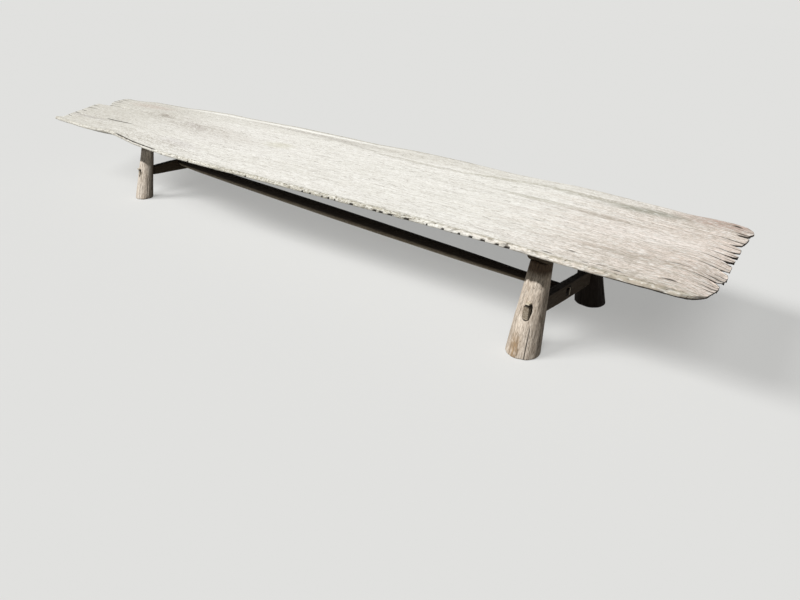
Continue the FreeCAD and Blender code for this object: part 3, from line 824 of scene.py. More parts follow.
# %% The board
def board_mesh():
    """The points and faces of the board: the upper face, the rings of the rim and the underside."""
    column, row = np.meshgrid(columns, rows)
    x, y = spot_on_board(column, row, top_ease, END_EASE_SHARE)
    drop, painted_deep_shade = relief(x, y, row)
    drop = drop + droop(x, y)
    points = [np.stack([x, y, board_high.z - drop], -1).reshape(-1, 3)]
    deep_shade_parts = [painted_deep_shade.ravel()]
    rows_of_points = [row.ravel()]
    faces = sheet_faces(0, len(rows), len(columns))

    grid = np.arange(row.size).reshape(row.shape)
    upper = np.r_[grid[0], grid[1:, -1], grid[-1, -2::-1], grid[-2:0:-1, 0]]
    edge = [array.ravel()[upper] for array in (column, row, drop, painted_deep_shade)]
    count = len(upper)
    base = row.size
    for number in range(1, len(RIM_RINGS) + 1):
        ring, dark = rim_ring(number, *edge)
        points.append(ring)
        deep_shade_parts.append(dark)
        rows_of_points.append(edge[1])
        lower = base + np.arange(count)
        faces += np.stack([lower, np.roll(lower, -1), np.roll(upper, -1), upper], -1).tolist()
        upper = lower
        base += count

    inner_shares = [np.linspace(0, 1, int(size / step))
                    for size, step in zip((board_length, usual_width), UNDER_STEP)]
    inner_column, inner_row = (shares.ravel() for shares in np.meshgrid(*inner_shares))
    x, y = spot_on_board(inner_column, inner_row, under_ease + UNDER_MARGIN)
    points.append(np.stack([x, y, board_low.z + under_relief(x, y)], -1))
    deep_shade_parts.append(np.zeros(len(x)))
    rows_of_points.append(inner_row)
    flat = [Vector(spot) for spot in np.vstack([ring[:, :2], np.stack([x, y], -1)])]
    made = geometry.delaunay_2d_cdt(flat, [], [list(range(count))], 1, 0.1 * MM)
    source = [base - count + origins[0] for origins in made[3]]
    faces += [[source[index] for index in reversed(face)] for face in made[2]]

    points = np.vstack(points)
    return points, faces, board_marks(points, np.concatenate(rows_of_points), np.concatenate(deep_shade_parts))


board = make_piece("board", *board_mesh())
put_in_place(board, "board_wood", "seat_board")

# %% [markdown]
# ## Legs
#
# Each leg is a log, thick at the foot, shaved with a drawknife into long flats that only just show,
# and opened by a few drying checks. The solid gives the circle at its foot and at its shoulder. A
# ring of points at every height is drawn in from those circles, never out: flats, fibres, checks,
# a chipped foot and the gap round the rail's tenon each take a little away. Drawn this way, the leg
# can't grow past its solid.

# %% What the solids say of a leg and of a rail's tenons
def level_circle(node, height):
    """Centre and radius of the widest level circle of a solid at a height."""
    points = solid_points(node)
    ring = points[np.abs(points[:, 2] - height) < 0.05 * MM]
    low, high = ring.min(0), ring.max(0)
    return (low + high) / 2, (high[0] - low[0]) / 2


def rail_line(node):
    """The middles of the two ends of a rail, and the half width and half depth of its tenons."""
    points = solid_points(node)
    ends = []
    for end_y in (points[:, 1].min(), points[:, 1].max()):
        face = points[np.abs(points[:, 1] - end_y) < 25 * MM]
        ends.append((face.min(0) + face.max(0)) / 2)
        half = (face.max(0) - face.min(0)) / 2
        ends[-1][1] = end_y
    return np.array(ends), half[0], half[2]


shoulder_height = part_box("left_bearer")[0].z
for side in ("left", "right"):
    print(side, "rail", [np.round(part, 4).tolist() for part in rail_line(f"{side}_cross_rail")])

# %% [markdown]
# Each gets three close columns.

# %% Measures of the legs
LEG_COLUMNS = 88
LEG_RING_STEP = 4 * MM
FOOT_EASE = 5 * MM
FOOT_RINGS = np.array([0, 1, 2.5, 5, 8, 12]) * MM
FOOT_REACH = 16 * MM
LEG_FACETS = 9
FACET_SHARE = 0.3
FACET_BEND = 0.35
# Hollows round a leg: what is added to its seed, their depth, cells round it and length of a cell
LEG_WAVES = [(10, 0.9 * MM, 5, 0.11), (20, 0.45 * MM, 60, 0.05)]
CHIP_DEPTH = 5 * MM
CHIPS_ROUND = 11
# A check tapers towards its ends, but one that starts at the foot is already open there
CHECK_TAPER = 20 * MM
OPEN_FOOT = 12 * MM
CHECK_MARGIN = 1.5
# The gap round a rail's tenon: its depth, and from which share of the tenon over what share it ends
GAP_DEPTH = 6 * MM
GAP_RUN = (0.98, 0.11)
TENON_ROUNDING = 3
# How squarely a face has to look outwards to count as a leg's outer side
OUTER_SIDE = 0.2
# The height from which the board's shadow is painted on a leg
SHADE_FROM = (0.268, 0.03)
# How dark the painted shade makes the back legs and the upper sides of the rails and the stretcher
PAINTED_SHADE_STRENGTH = 0.8
# For each leg: its seed and its checks as (angle in degrees, from, to, width, depth in mm)
LEG_CHECKS = {
    "front_right_leg": (51, [(34, 0, 118, 4.0, 6), (-22, 150, 232, 2.6, 2), (82, 20, 250, 3.0, 5),
                             (-62, 0, 90, 2.6, 5), (128, 40, 300, 3.5, 8), (-120, 0, 170, 3.0, 6)]),
    "front_left_leg": (52, [(24, 10, 210, 3.0, 6), (-30, 60, 300, 2.6, 5), (80, 0, 140, 3.0, 6),
                            (-100, 30, 280, 3.0, 7), (160, 0, 200, 3.0, 6)]),
    "back_right_leg": (53, [(-20, 0, 160, 3.0, 6), (45, 60, 310, 3.0, 6), (110, 0, 220, 3.0, 7),
                            (-95, 20, 260, 3.5, 8), (170, 0, 150, 3.0, 6)]),
    "back_left_leg": (54, [(8, 0, 110, 3.0, 5), (70, 40, 300, 3.0, 6), (-60, 0, 190, 3.0, 6),
                           (-130, 80, 310, 3.0, 7), (140, 0, 130, 3.0, 6)]),
}


# %% Columns and relief of a leg
def turn_between(first, second):
    """The size of the turn from one angle to another."""
    return np.abs((first - second + np.pi) % (2 * np.pi) - np.pi)


def leg_columns(leg_checks, outward, foot_radius):
    """The angles of a leg's columns, with three close ones at each check."""
    angles = np.arange(LEG_COLUMNS) * 2 * np.pi / LEG_COLUMNS
    for turn, _, _, width, _ in leg_checks:
        middle = np.radians(outward + turn) % (2 * np.pi)
        half = width * MM / 2 / foot_radius
        angles = angles[turn_between(angles, middle) > CHECK_MARGIN * half]
        angles = np.sort(np.r_[angles, (middle + np.array([-1, 0, 1]) * half) % (2 * np.pi)])
    return angles


def leg_relief(seed, leg_checks, outward, foot_radius, angle, height, radius):
    """How far flats, fibres, chips and checks draw a leg in, and how dark its checks are painted as shade.
    """
    turns = angle / (2 * np.pi)
    bend = FACET_BEND * wander(seed, turns * 4, height / 0.2, 4)
    flat = ((turns * LEG_FACETS + bend) % 1) - 0.5
    facet = radius * (1 - np.cos((0.5 - np.abs(flat)) * 2 * np.pi / LEG_FACETS))
    inset = FACET_SHARE * facet
    for extra, depth, cells, length in LEG_WAVES:
        inset += depth * (1 + wander(seed + extra, turns * cells, height / length, cells))
    chip = np.clip(wander(seed + 30, turns * CHIPS_ROUND, 0.5, CHIPS_ROUND) - 0.1, 0, 1)
    inset += CHIP_DEPTH * chip * ramp(height, FOOT_REACH, -FOOT_REACH)
    inset += 0.9 * FOOT_EASE * np.clip(1 - height / FOOT_EASE, 0, 1) ** 2
    painted_deep_shade = np.zeros_like(inset)
    for number, (turn, low, high, width, depth) in enumerate(leg_checks):
        away = turn_between(angle, np.radians(outward + turn)) * foot_radius
        flank = np.clip(1 - away / (width * MM / 2), 0, 1)
        above_foot = height - low * MM + OPEN_FOOT * (low == 0)
        run = np.clip(np.minimum(above_foot, high * MM - height) / CHECK_TAPER, 0, 1)
        cut = flank * np.sqrt(run) * (0.8 + 0.2 * wander(seed + 40 + number, 0.5, height / 0.02))
        inset += depth * MM * cut
        painted_deep_shade = np.maximum(painted_deep_shade, cut)
    return inset, painted_deep_shade


def tenon_gap(node, outward, x, y, height, angle):
    """1 on the outer side of a leg inside the outline of its rail's tenon, 0 away from it."""
    ends, half_width, half_depth = rail_line(("left" if "left" in node else "right") + "_cross_rail")
    end = ends[0] if node.startswith("front") else ends[1]
    way = (ends[1] - ends[0]) / np.linalg.norm(ends[1] - ends[0])
    rise = (height - end[2]) * way[1] - (y - end[1]) * way[2]
    round_off = (np.abs((x - end[0]) / half_width) ** TENON_ROUNDING
                 + np.abs(rise / half_depth) ** TENON_ROUNDING) ** (1 / TENON_ROUNDING)
    faces_out = (np.sin(angle) * np.sin(np.radians(outward))) > OUTER_SIDE
    return (1 - ramp(round_off, *GAP_RUN)) * faces_out


# %% Legs
def leg_mesh(node, seed, leg_checks):
    """The points, faces and marks of a leg, drawn in from its solid's circles."""
    foot, foot_radius = level_circle(node, FOOT_EASE)
    top, top_radius = level_circle(node, shoulder_height)
    outward = -90 if node.startswith("front") else 90
    angles = leg_columns(leg_checks, outward, foot_radius)
    heights = np.r_[FOOT_RINGS, np.arange(FOOT_REACH, shoulder_height - 2 * MM, LEG_RING_STEP),
                    shoulder_height]
    angle, height = np.meshgrid(angles, heights)
    share = (height - FOOT_EASE) / (shoulder_height - FOOT_EASE)
    radius = mix(foot_radius, top_radius, share)
    centre_x, centre_y = (mix(foot[i], top[i], share) for i in (0, 1))

    inset, painted_deep_shade = leg_relief(seed, leg_checks, outward, foot_radius, angle, height, radius)
    gap = tenon_gap(node, outward, centre_x + radius * np.cos(angle), centre_y + radius * np.sin(angle),
                    height, angle)
    # The gap round the tenon is cut in and painted dark as shade
    inset = np.maximum(inset, GAP_DEPTH * gap)
    painted_deep_shade = np.maximum(painted_deep_shade, gap)
    # Painted shade: a leg is darker on its inner side and above the line where the board's shadow falls,
    # and the back legs are painted dark all over
    facing_in = -np.sin(angle) * np.sin(np.radians(outward))
    painted_shade = np.maximum(soft_step(0.15 + 1.1 * facing_in), ramp(height, *SHADE_FROM))
    if node.startswith("back"):
        painted_shade = np.ones_like(painted_shade)
        painted_deep_shade = np.maximum(painted_deep_shade, PAINTED_SHADE_STRENGTH)

    x = centre_x + (radius - inset) * np.cos(angle)
    y = centre_y + (radius - inset) * np.sin(angle)
    points = np.stack([x, y, height], -1).reshape(-1, 3)
    faces = sheet_faces(0, len(heights), len(angles), ring=True)
    last, count = len(points), len(angles)
    faces += [(last, (index + 1) % count, index) for index in range(count)]
    rim = last - count
    faces += [(last + 1, rim + index, rim + (index + 1) % count) for index in range(count)]
    caps = [[centre_x[0, 0], centre_y[0, 0], 0.4 * MM],
            [centre_x[-1, 0], centre_y[-1, 0], shoulder_height]]
    points = np.vstack([points, caps])
    along = np.r_[height.ravel(), 0, shoulder_height]
    middle_x = np.r_[centre_x.ravel(), caps[0][0], caps[1][0]]
    middle_y = np.r_[centre_y.ravel(), caps[0][1], caps[1][1]]
    timber = np.stack([along, points[:, 0] - middle_x, points[:, 1] - middle_y], -1)
    return points, faces, {"painted_deep_shade": np.r_[painted_deep_shade.ravel(), 0, 0], "timber": timber,
                           "painted_shade": np.r_[painted_shade.ravel(), 1, 1]}


legs = {}
for node, (seed, leg_checks) in LEG_CHECKS.items():
    points, faces, marks = leg_mesh(node, seed, leg_checks)
    legs[node] = put_in_place(make_piece(f"{node}_log", points, faces, marks), "leg_wood", node)

# %% [markdown]
# ## Hewn rails, bearers and wedges
#
# The rails, bearers and wedges are squared pieces with mortises, coped shoulders and tenons, and
# the solids have all of that right. What they lack is wear: hewn faces, soft corners, a little
# unevenness. So each is a copy of its solid, turned into an even skin of small squares by the
# Remesh modifier, smoothed a little so that its corners go round, and then pushed in by wandering
# heights that are long along the grain.

# %% Hewn copies
import bmesh

# The waves of a hewn face, each with its share of the depth and the length and width of its cells.
# The first crosses one side of the piece, the second the other and the third the slope between them
HEWN_WAVES = [(1.0, 90 * MM, 17 * MM), (0.6, 60 * MM, 13 * MM), (0.35, 30 * MM, 4 * MM)]
FULL_PUSH = 2 * sum(share for share, _, _ in HEWN_WAVES)
SIDE_TILT = 0.37
TIP_REACH = 26 * MM
# How much of the painted shade the sides of a hewn piece get, where its upper side gets all of it
SIDE_PAINTED_SHADE = 0.85
# Dents deeper than this share of the depth get painted shade
DARK_PUSH = 0.72
# How far the weather has taken back the front end of each rail, and the wear of all rail tips
FRONT_LOSS = {"left": 9 * MM, "right": 0.0}
TIPS_WEAR = 1.8 * MM


def plain_mesh(piece):
    """What the modifiers of a piece make of it, as a mesh of its own."""
    made = bpy.data.meshes.new_from_object(piece.evaluated_get(bpy.context.evaluated_depsgraph_get()))
    piece.modifiers.clear()
    return made


def hewn_copy(name, node, cell, depth, seed, smooth_passes, painted_shade=1.0, tips_wear=0.0, painted_top_shade=0.0,
              front_loss=0.0):
    """A worn copy of a solid whose grain runs from front to back. It is only ever pushed inwards."""
    skin = bmesh.new()
    skin.from_mesh(frame["nodes"][node].data)
    bmesh.ops.remove_doubles(skin, verts=skin.verts, dist=0.01 * MM)
    mesh = bpy.data.meshes.new(name)
    skin.to_mesh(mesh)
    skin.free()
    piece = add_object(name, mesh)
    even = piece.modifiers.new("even_skin", "REMESH")
    even.mode = "VOXEL"
    even.voxel_size = cell
    relax = piece.modifiers.new("worn_corners", "SMOOTH")
    relax.iterations = smooth_passes
    relax.factor = 0.5
    finished = piece.data = plain_mesh(piece)
    points = mesh_points(finished)
    normals = np.array([vertex.normal for vertex in finished.vertices])
    x, y, z = points.T
    side, edge = x + SIDE_TILT * z, z - SIDE_TILT * x
    push = 0
    for number, ((share, length, width), way) in enumerate(zip(HEWN_WAVES, (side, edge, side + edge))):
        push += share / FULL_PUSH * (1 + wander(seed + number, y / length, way / width))
    low, high = (np.array(corner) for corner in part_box(node))
    tip = ramp(np.minimum(y - low[1], high[1] - y), TIP_REACH, -TIP_REACH) * (tips_wear > 0)
    points = points - normals * (depth * push + tips_wear * tip)[:, None]
    points[:, 1] += front_loss * np.clip(1 - (points[:, 1] - low[1]) / TIP_REACH, 0, 1)
    run = points[:, 1]
    points = np.clip(points, low, high)
    finished.vertices.foreach_set("co", points.ravel())
    middle = points.mean(0)
    keep_mark(finished, "timber", np.stack([run, points[:, 0] - middle[0], points[:, 2] - middle[2]], -1))
    # Painted shade: deep dents are dark, the upper side darker than the sides, and the worn tips get no
    # broad painted shade
    upward = soft_step(0.35 + normals[:, 2])
    keep_mark(finished, "painted_deep_shade", np.maximum(np.clip(push - DARK_PUSH, 0, 1) * 2, painted_top_shade * upward))
    keep_mark(finished, "painted_shade", painted_shade * mix(SIDE_PAINTED_SHADE, 1, upward) * (1 - tip))
    finished.shade_smooth()
    return piece


hewn = {}
for number, end in enumerate(("left", "right")):
    node = f"{end}_cross_rail"
    hewn[node] = hewn_copy(f"{end}_hewn_rail", node, 2.6 * MM, 2.2 * MM, 60 + number, 5,
                           tips_wear=TIPS_WEAR, painted_top_shade=PAINTED_SHADE_STRENGTH, front_loss=FRONT_LOSS[end])
    put_in_place(hewn[node], "rail_wood", node)
    node = f"{end}_bearer"
    hewn[node] = hewn_copy(f"{end}_hewn_bearer", node, 3 * MM, 2.0 * MM, 70 + number, 2)
    put_in_place(hewn[node], "bearer_wood", node)
    for side in ("front", "back"):
        node = f"{side}_{end}_rail_wedge"
        hewn[node] = hewn_copy(f"{node}_split", node, 1.1 * MM, 0.8 * MM, 80 + number, 2, painted_shade=0.0)
        put_in_place(hewn[node], "wedge_wood", node)

# %% [markdown]
# ## The long stretcher
#
# The stretcher is a straight young stem, shaved round and left a little faceted, and its thickness
# changes along its length. That is a shape that follows a rule: a line, a radius at each place on
# it, and a shallow wandering of the surface. Geometry Nodes make it from those three. The line and
# its radii are read from the solid, so the node tree only has to sweep a circle along it.

# %% The stretcher's line and radii
POLE_SIDES = 40
POLE_STEP = 11 * MM
POLE_SHAVE = 1.4 * MM
# The length and width of a shaved flat
POLE_FLAT = (0.35, 22 * MM)


def pole_profile(node):
    """Places along the pole's axis, from end to end, and the radius at each."""
    points = solid_points(node)
    low, high = points[points[:, 0].argmin()], points[points[:, 0].argmax()]
    ends = []
    for face in (points[points[:, 0] < low[0] + 2 * MM], points[points[:, 0] > high[0] - 2 * MM]):
        ends.append((face.min(0) + face.max(0)) / 2)
    start, stop = ends
    way = (stop - start) / np.linalg.norm(stop - start)
    along = (points - start) @ way
    radius = np.linalg.norm(points - start - along[:, None] * way, axis=1)
    stations = np.unique(np.round(along, 3))
    widest = np.array([radius[np.abs(along - station) < 1.5 * MM].max() for station in stations])
    kept = widest > 0.9 * widest[[0, -1]].min()
    return start, way, stations[kept], widest[kept]


pole_start, pole_way, pole_stations, pole_radii = pole_profile("long_stretcher")
print("stretcher from", np.round(pole_start, 3), "radii in mm", np.round(pole_radii / MM, 1))

# %% A node tree that sweeps and shaves
def shaved_pole_tree(material):
    """Sweeps a circle along a line and pushes it in where a slow noise says so."""
    tree = bpy.data.node_groups.new("shaved_pole", "GeometryNodeTree")
    for name, kind in (("Line", "NodeSocketGeometry"), ("Ring step", "NodeSocketFloat"),
                       ("Sides", "NodeSocketInt"), ("Shave depth", "NodeSocketFloat"),
                       ("Flat length", "NodeSocketFloat"), ("Flat width", "NodeSocketFloat")):
        tree.interface.new_socket(name, in_out="INPUT", socket_type=kind)
    tree.interface.new_socket("Pole", in_out="OUTPUT", socket_type="NodeSocketGeometry")
    given = add(tree, "NodeGroupInput").outputs
    line = add(tree, "GeometryNodeResampleCurve",
               {"Curve": given["Line"], "Length": given["Ring step"]}, mode="LENGTH")
    circle = add(tree, "GeometryNodeCurvePrimitiveCircle", {"Resolution": given["Sides"], "Radius": 1.0})
    radius = add(tree, "GeometryNodeInputRadius")
    sweep = add(tree, "GeometryNodeCurveToMesh",
                {"Curve": line.outputs[0], "Profile Curve": circle.outputs[0],
                 "Scale": radius.outputs[0], "Fill Caps": True})
    place = add(tree, "GeometryNodeInputPosition")
    cell = add(tree, "ShaderNodeCombineXYZ",
               {"X": given["Flat length"], "Y": given["Flat width"], "Z": given["Flat width"]})
    scaled = add(tree, "ShaderNodeVectorMath", {0: place.outputs[0], 1: cell.outputs[0]},
                 operation="DIVIDE")
    waves = add(tree, "ShaderNodeTexNoise",
                {"Vector": scaled.outputs[0], "Scale": 1.0, "Detail": 3.0, "Roughness": 0.45})
    depth = maths(tree, "MULTIPLY", waves.outputs[0], given["Shave depth"])
    normal = add(tree, "GeometryNodeInputNormal")
    inward = add(tree, "ShaderNodeVectorMath",
                 {0: normal.outputs[0], "Scale": maths(tree, "MULTIPLY", depth, -1.0)}, operation="SCALE")
    shaved = add(tree, "GeometryNodeSetPosition",
                 {"Geometry": sweep.outputs[0], "Offset": inward.outputs[0]})
    real = add(tree, "GeometryNodeRealizeInstances", {"Geometry": shaved.outputs[0]})
    painted = add(tree, "GeometryNodeSetMaterial", {"Geometry": real.outputs[0], "Material": material})
    add(tree, "NodeGroupOutput", {"Pole": painted.outputs[0]})
    return tree


def run_tree(name, source, tree, values):
    """The plain piece that a node tree makes of a source object, which is then removed."""
    holder = add_object(f"{name}_source", source)
    modifier = holder.modifiers.new("made", "NODES")
    modifier.node_group = tree
    sockets = {item.name: item.identifier for item in tree.interface.items_tree if item.in_out == "INPUT"}
    for socket, value in values.items():
        modifier[sockets[socket]] = value
    mesh = plain_mesh(holder)
    bpy.data.objects.remove(holder)
    mesh.name = name
    mesh.shade_smooth()
    return add_object(name, mesh)


# %% The stretcher
pole_curve = bpy.data.curves.new("stretcher_line", "CURVE")
pole_curve.dimensions = "3D"
spline = pole_curve.splines.new("POLY")
spline.points.add(len(pole_stations) - 1)
for point, station, radius in zip(spline.points, pole_stations, pole_radii):
    point.co = (*(pole_start + station * pole_way), 1)
    point.radius = radius

bare_wood = bpy.data.materials.new("bare_wood")
stretcher = run_tree("shaved_stretcher", pole_curve, shaved_pole_tree(bare_wood),
                     {"Ring step": POLE_STEP, "Sides": POLE_SIDES, "Shave depth": POLE_SHAVE,
                      "Flat length": POLE_FLAT[0], "Flat width": POLE_FLAT[1]})
put_in_place(stretcher, "stretcher_wood", "long_stretcher")

# %% [markdown]
# ## Wood
#
# All the wood here is old and was left raw to the weather. Rain washes out the colour and the soft
# parts, so it goes grey and silvery, and the harder fibres stand proud. One function makes each wood
# from the same layers, coarse to fine: broad patches, streaks along the grain, fibres, hair cracks,
# and painted shade where the mesh marks it, darkest in cracks and holes. Every layer is noise
# stretched along the grain, and its cell is given in real millimetres. The thinnest fibres of such
# wood are under a millimetre wide and would vanish in the picture, so they are drawn a few
# millimetres wide.

# %% Layers of weathered wood
# The noise of each layer: its detail and its roughness
LAYERS = {"patch": (3.0, 0.5), "streak": (4.0, 0.6), "fibre": (3.0, 0.65), "speck": (2.0, 0.6),
          "hair": (2.0, 0.55), "shine": (2.0, 0.6), "fleck": (2.0, 0.6)}
# Between which values of its noise each of the darker layers fades out
DARK_LAYERS = {"streak": (0.30, 0.54), "fibre": (0.34, 0.57), "speck": (0.36, 0.58)}
HAIR_HALF = 0.010
DULLEST, GLOSSIEST = 0.95, 0.78
SPECULAR = 0.2
BUMP_STRENGTH = 0.7


def stretched(tree, place, along_mm, across_mm, detail, roughness):
    """Noise whose cells have a real length along the grain and a real width across it."""
    cells = add(tree, "ShaderNodeMapping",
                {"Vector": place, "Scale": (1000 / along_mm, 1000 / across_mm, 1000 / across_mm)})
    return add(tree, "ShaderNodeTexNoise", {"Vector": cells.outputs[0], "Scale": 1.0, "Detail": detail,
                                            "Roughness": roughness}).outputs["Fac"]


def between(tree, value, low, high, out_low=0.0, out_high=1.0):
    """A value from low to high made to run softly from one number to another."""
    return add(tree, "ShaderNodeMapRange", {"Value": value, "From Min": low, "From Max": high,
                                            "To Min": out_low, "To Max": out_high},
               interpolation_type="SMOOTHSTEP").outputs[0]


def times(tree, first, second):
    return maths(tree, "MULTIPLY", first, second)


def blended(tree, share, below, above_it, blend_type="MIX"):
    """One colour laid over another by a share."""
    return add(tree, "ShaderNodeMix", {0: share, 6: below, 7: above_it}, data_type="RGBA",
               blend_type=blend_type).outputs[2]


def tinted(tree, colour, place, ragged, centre, reach, turn, tint, strength):
    """The colour with a stain on it: a ragged patch with a centre, a reach and a turn in degrees."""
    local = add(tree, "ShaderNodeMapping", {"Vector": place, "Location": centre, "Scale": reach,
                                            "Rotation": (0, 0, np.radians(turn))}, vector_type="TEXTURE")
    away = add(tree, "ShaderNodeVectorMath", {0: local.outputs[0]}, operation="LENGTH").outputs["Value"]
    edge = maths(tree, "ADD", away, ragged)
    return blended(tree, between(tree, edge, 1.0, 0.2, 0.0, strength), colour, linear(tint))


# %% A weathered wood
def weathered(name, colours, cells, tints=(), bump_mm=0.5, marked=True, tints_on_grain=True):
    """A weathered wood whose grain runs along the first number of the grain's own place."""
    material = bpy.data.materials.new(name)
    tree = empty_tree(material)
    tone = {layer: linear(value) for layer, value in colours.items() if not layer.endswith("share")}
    spot = add(tree, "ShaderNodeTexCoord").outputs["Object"]
    place = spot
    if marked:
        place = add(tree, "ShaderNodeAttribute", attribute_name="timber").outputs["Vector"]
    painted_deep_shade, painted_shade, bark, wear = (add(tree, "ShaderNodeAttribute", attribute_name=mark).outputs["Fac"]
                                   for mark in ("painted_deep_shade", "painted_shade", "bark", "wear"))
    noise = {layer: stretched(tree, place, *cells[layer], *how) for layer, how in LAYERS.items()}

    # Broad patches of two tones, and the stains
    colour = blended(tree, between(tree, noise["patch"], 0.35, 0.65), tone["patch"], tone["face"])
    ragged = maths(tree, "MULTIPLY_ADD", noise["streak"], 0.9, -0.45)
    for tint in tints:
        colour = tinted(tree, colour, place if tints_on_grain else spot, ragged, *tint)
    # Streaks, fibres and specks, stronger where the wood is worn, and broken hair cracks
    rougher = maths(tree, "MULTIPLY_ADD", wear, 1.2, 1.0)
    for layer, (low, high) in DARK_LAYERS.items():
        share = between(tree, noise[layer], low, high, colours[f"{layer}_share"], 0.0)
        colour = blended(tree, times(tree, share, rougher), colour, tone[layer])
    hair_line = times(tree, maths(tree, "COMPARE", noise["hair"], 0.5, HAIR_HALF),
                      between(tree, noise["speck"], 0.42, 0.55))
    colour = blended(tree, times(tree, hair_line, colours["hair_share"]), colour, tone["hair"])
    # Silvery spots, and what is left of the bark with its dark flecks
    shine = between(tree, noise["shine"], 0.5, 0.66, 0.0, colours["shine_share"])
    colour = blended(tree, shine, colour, tone["shine"])
    barky = times(tree, bark, between(tree, noise["speck"], 0.4, 0.6, 0.95, 0.45))
    colour = blended(tree, barky, colour, tone["bark"])
    fleck = times(tree, between(tree, noise["fleck"], 0.58, 0.66), between(tree, bark, 0.02, 0.5))
    colour = blended(tree, times(tree, fleck, 0.75), colour, tone["fleck"])
    # Painted shade laid over the colour where the mesh marks it: a broad darkening of shaded parts, and a
    # deeper dark in cracks, holes, gaps and other shaded places
    colour = blended(tree, times(tree, painted_shade, colours["painted_shade_share"]), colour, tone["painted_shade"],
                     "MULTIPLY")
    colour = blended(tree, between(tree, painted_deep_shade, 0.05, 0.55, 0.0, 0.95), colour, tone["painted_deep_shade"])

    # Fibres and streaks stand up from the face, and the hair cracks lie below it
    height = maths(tree, "MULTIPLY_ADD", noise["fibre"], 0.8, times(tree, noise["streak"], 0.6))
    height = maths(tree, "SUBTRACT", height, times(tree, hair_line, 0.35))
    bump = add(tree, "ShaderNodeBump",
               {"Height": height, "Strength": BUMP_STRENGTH, "Distance": bump_mm * MM})
    skin = add(tree, "ShaderNodeBsdfPrincipled",
               {"Base Color": colour, "Specular IOR Level": SPECULAR, "Normal": bump.outputs[0],
                "Roughness": between(tree, noise["fibre"], 0.3, 0.7, DULLEST, GLOSSIEST)})
    add(tree, "ShaderNodeOutputMaterial", {"Surface": skin.outputs[0]})
    return material


# %% Board wood
SEAT_HEIGHT = 0.42
BOARD_COLOURS = {
    "face": "fcfaf3", "patch": "f7f5ed", "streak": "d3cec3", "streak_share": 0.38, "fibre": "a0998c",
    "fibre_share": 0.32, "speck": "a39b8d", "speck_share": 0.30, "hair": "7a7063", "hair_share": 0.5,
    "shine": "fffef9", "shine_share": 0.5, "bark": "a39d89", "fleck": "4d4436", "painted_shade": "8a7a66",
    "painted_shade_share": 0.0, "painted_deep_shade": "241d17"}
# The length along the grain and the width across it of each layer's cells, in mm
BOARD_CELLS = {"patch": (700, 110), "streak": (420, 13), "fibre": (50, 3.6), "speck": (11, 5),
               "hair": (260, 30), "shine": (24, 5), "fleck": (18, 4)}
# Each stain: its middle along and across, its reach along and across, its turn, colour and strength
BOARD_STAINS = [
    # The broad fall of colour: greyer to the left, pinkish to the right
    (-2.0, 0.0, 1.9, 1.3, 0, "dddad0", 1.0),
    (2.4, 0.0, 1.25, 1.3, 0, "ead9cd", 1.0),
    (0.3, 0.38, 2.2, 0.13, 0, "e4e1d7", 0.8),
    # A pale arch of growth lines with a duller field inside it
    (-0.5, 0.0, 0.85, 0.32, -4, "fdfbf5", 0.8),
    (-0.6, -0.01, 0.66, 0.23, -4, "e9e5dd", 0.75),
    (-0.1, 0.047, 0.15, 0.08, 0, "e4e1cf", 0.7),
    (-0.5, -0.29, 0.3, 0.07, -5, "dcd7d4", 0.6),
    # Long dull streaks towards the back edge, and the red and green of its right end
    (0.13, 0.322, 0.42, 0.020, -9, "c8c5bd", 0.7),
    (0.62, 0.264, 0.36, 0.024, -2, "cdcabd", 0.7),
    (1.08, 0.300, 0.36, 0.026, 9, "c3c0b0", 0.75),
    (1.43, 0.316, 0.30, 0.034, -4, "b6b3a3", 0.8),
    (1.71, 0.293, 0.25, 0.050, 2, "98988a", 0.95),
    (1.32, 0.148, 0.30, 0.026, 0, "bdbaaa", 0.75),
    (1.62, 0.120, 0.30, 0.030, -4, "b5a99b", 0.8),
    (2.0, 0.345, 0.26, 0.110, 0, "ba988b", 0.9),
    (1.80, 0.03, 0.30, 0.12, 2, "fbf2ea", 0.8),
    (1.86, -0.165, 0.32, 0.040, 2, "baa99b", 0.75),
    (1.97, -0.35, 0.33, 0.07, 3, "aa9b8a", 0.8),
    # The bright arris along the back edge
    (-1.02, 0.368, 0.48, 0.030, 6, "fffdf5", 1.0),
    (-0.2, 0.402, 0.8, 0.030, 1, "fffdf5", 1.0),
    (-0.15, 0.350, 0.75, 0.030, 0.5, "cbc7bf", 0.8),
    # Knots and smudges of the left third
    (-1.63, 0.20, 0.33, 0.08, 4, "cfc0b5", 0.7),
    (-1.27, 0.085, 0.13, 0.035, -11, "9d948b", 0.8),
    (-0.83, 0.023, 0.24, 0.050, -16, "c6beba", 0.6),
    (-1.55, -0.27, 0.35, 0.030, 6, "bdb8b2", 0.7),
]
# Almost white, as only years of sun leave it, so that cracks, bark and knots stand out by themselves
board_wood = weathered(
    "sun_bleached_plank", BOARD_COLOURS, BOARD_CELLS, tints_on_grain=False,
    tints=[((x, y, SEAT_HEIGHT), (along, across, 1.0), turn, tint, strength)
           for x, y, along, across, turn, tint, strength in BOARD_STAINS])
board.data.materials.append(board_wood)

# %% Leg wood
LEG_COLOURS = {
    "face": "dccfbf", "patch": "cdbfae", "streak": "a39483", "streak_share": 0.5, "fibre": "6a5c4e",
    "fibre_share": 0.6, "speck": "7c6d5e", "speck_share": 0.45, "hair": "43382d", "hair_share": 0.6,
    "shine": "ece2d4", "shine_share": 0.4, "bark": "a8977b", "fleck": "5d5546", "painted_shade": "5e4a32",
    "painted_shade_share": 0.9, "painted_deep_shade": "1d1712"}
LEG_CELLS = {"patch": (160, 50), "streak": (150, 12), "fibre": (42, 4), "speck": (12, 4),
             "hair": (130, 15), "shine": (30, 4.5), "fleck": (26, 5)}
LEG_BUMP_MM = 1.2
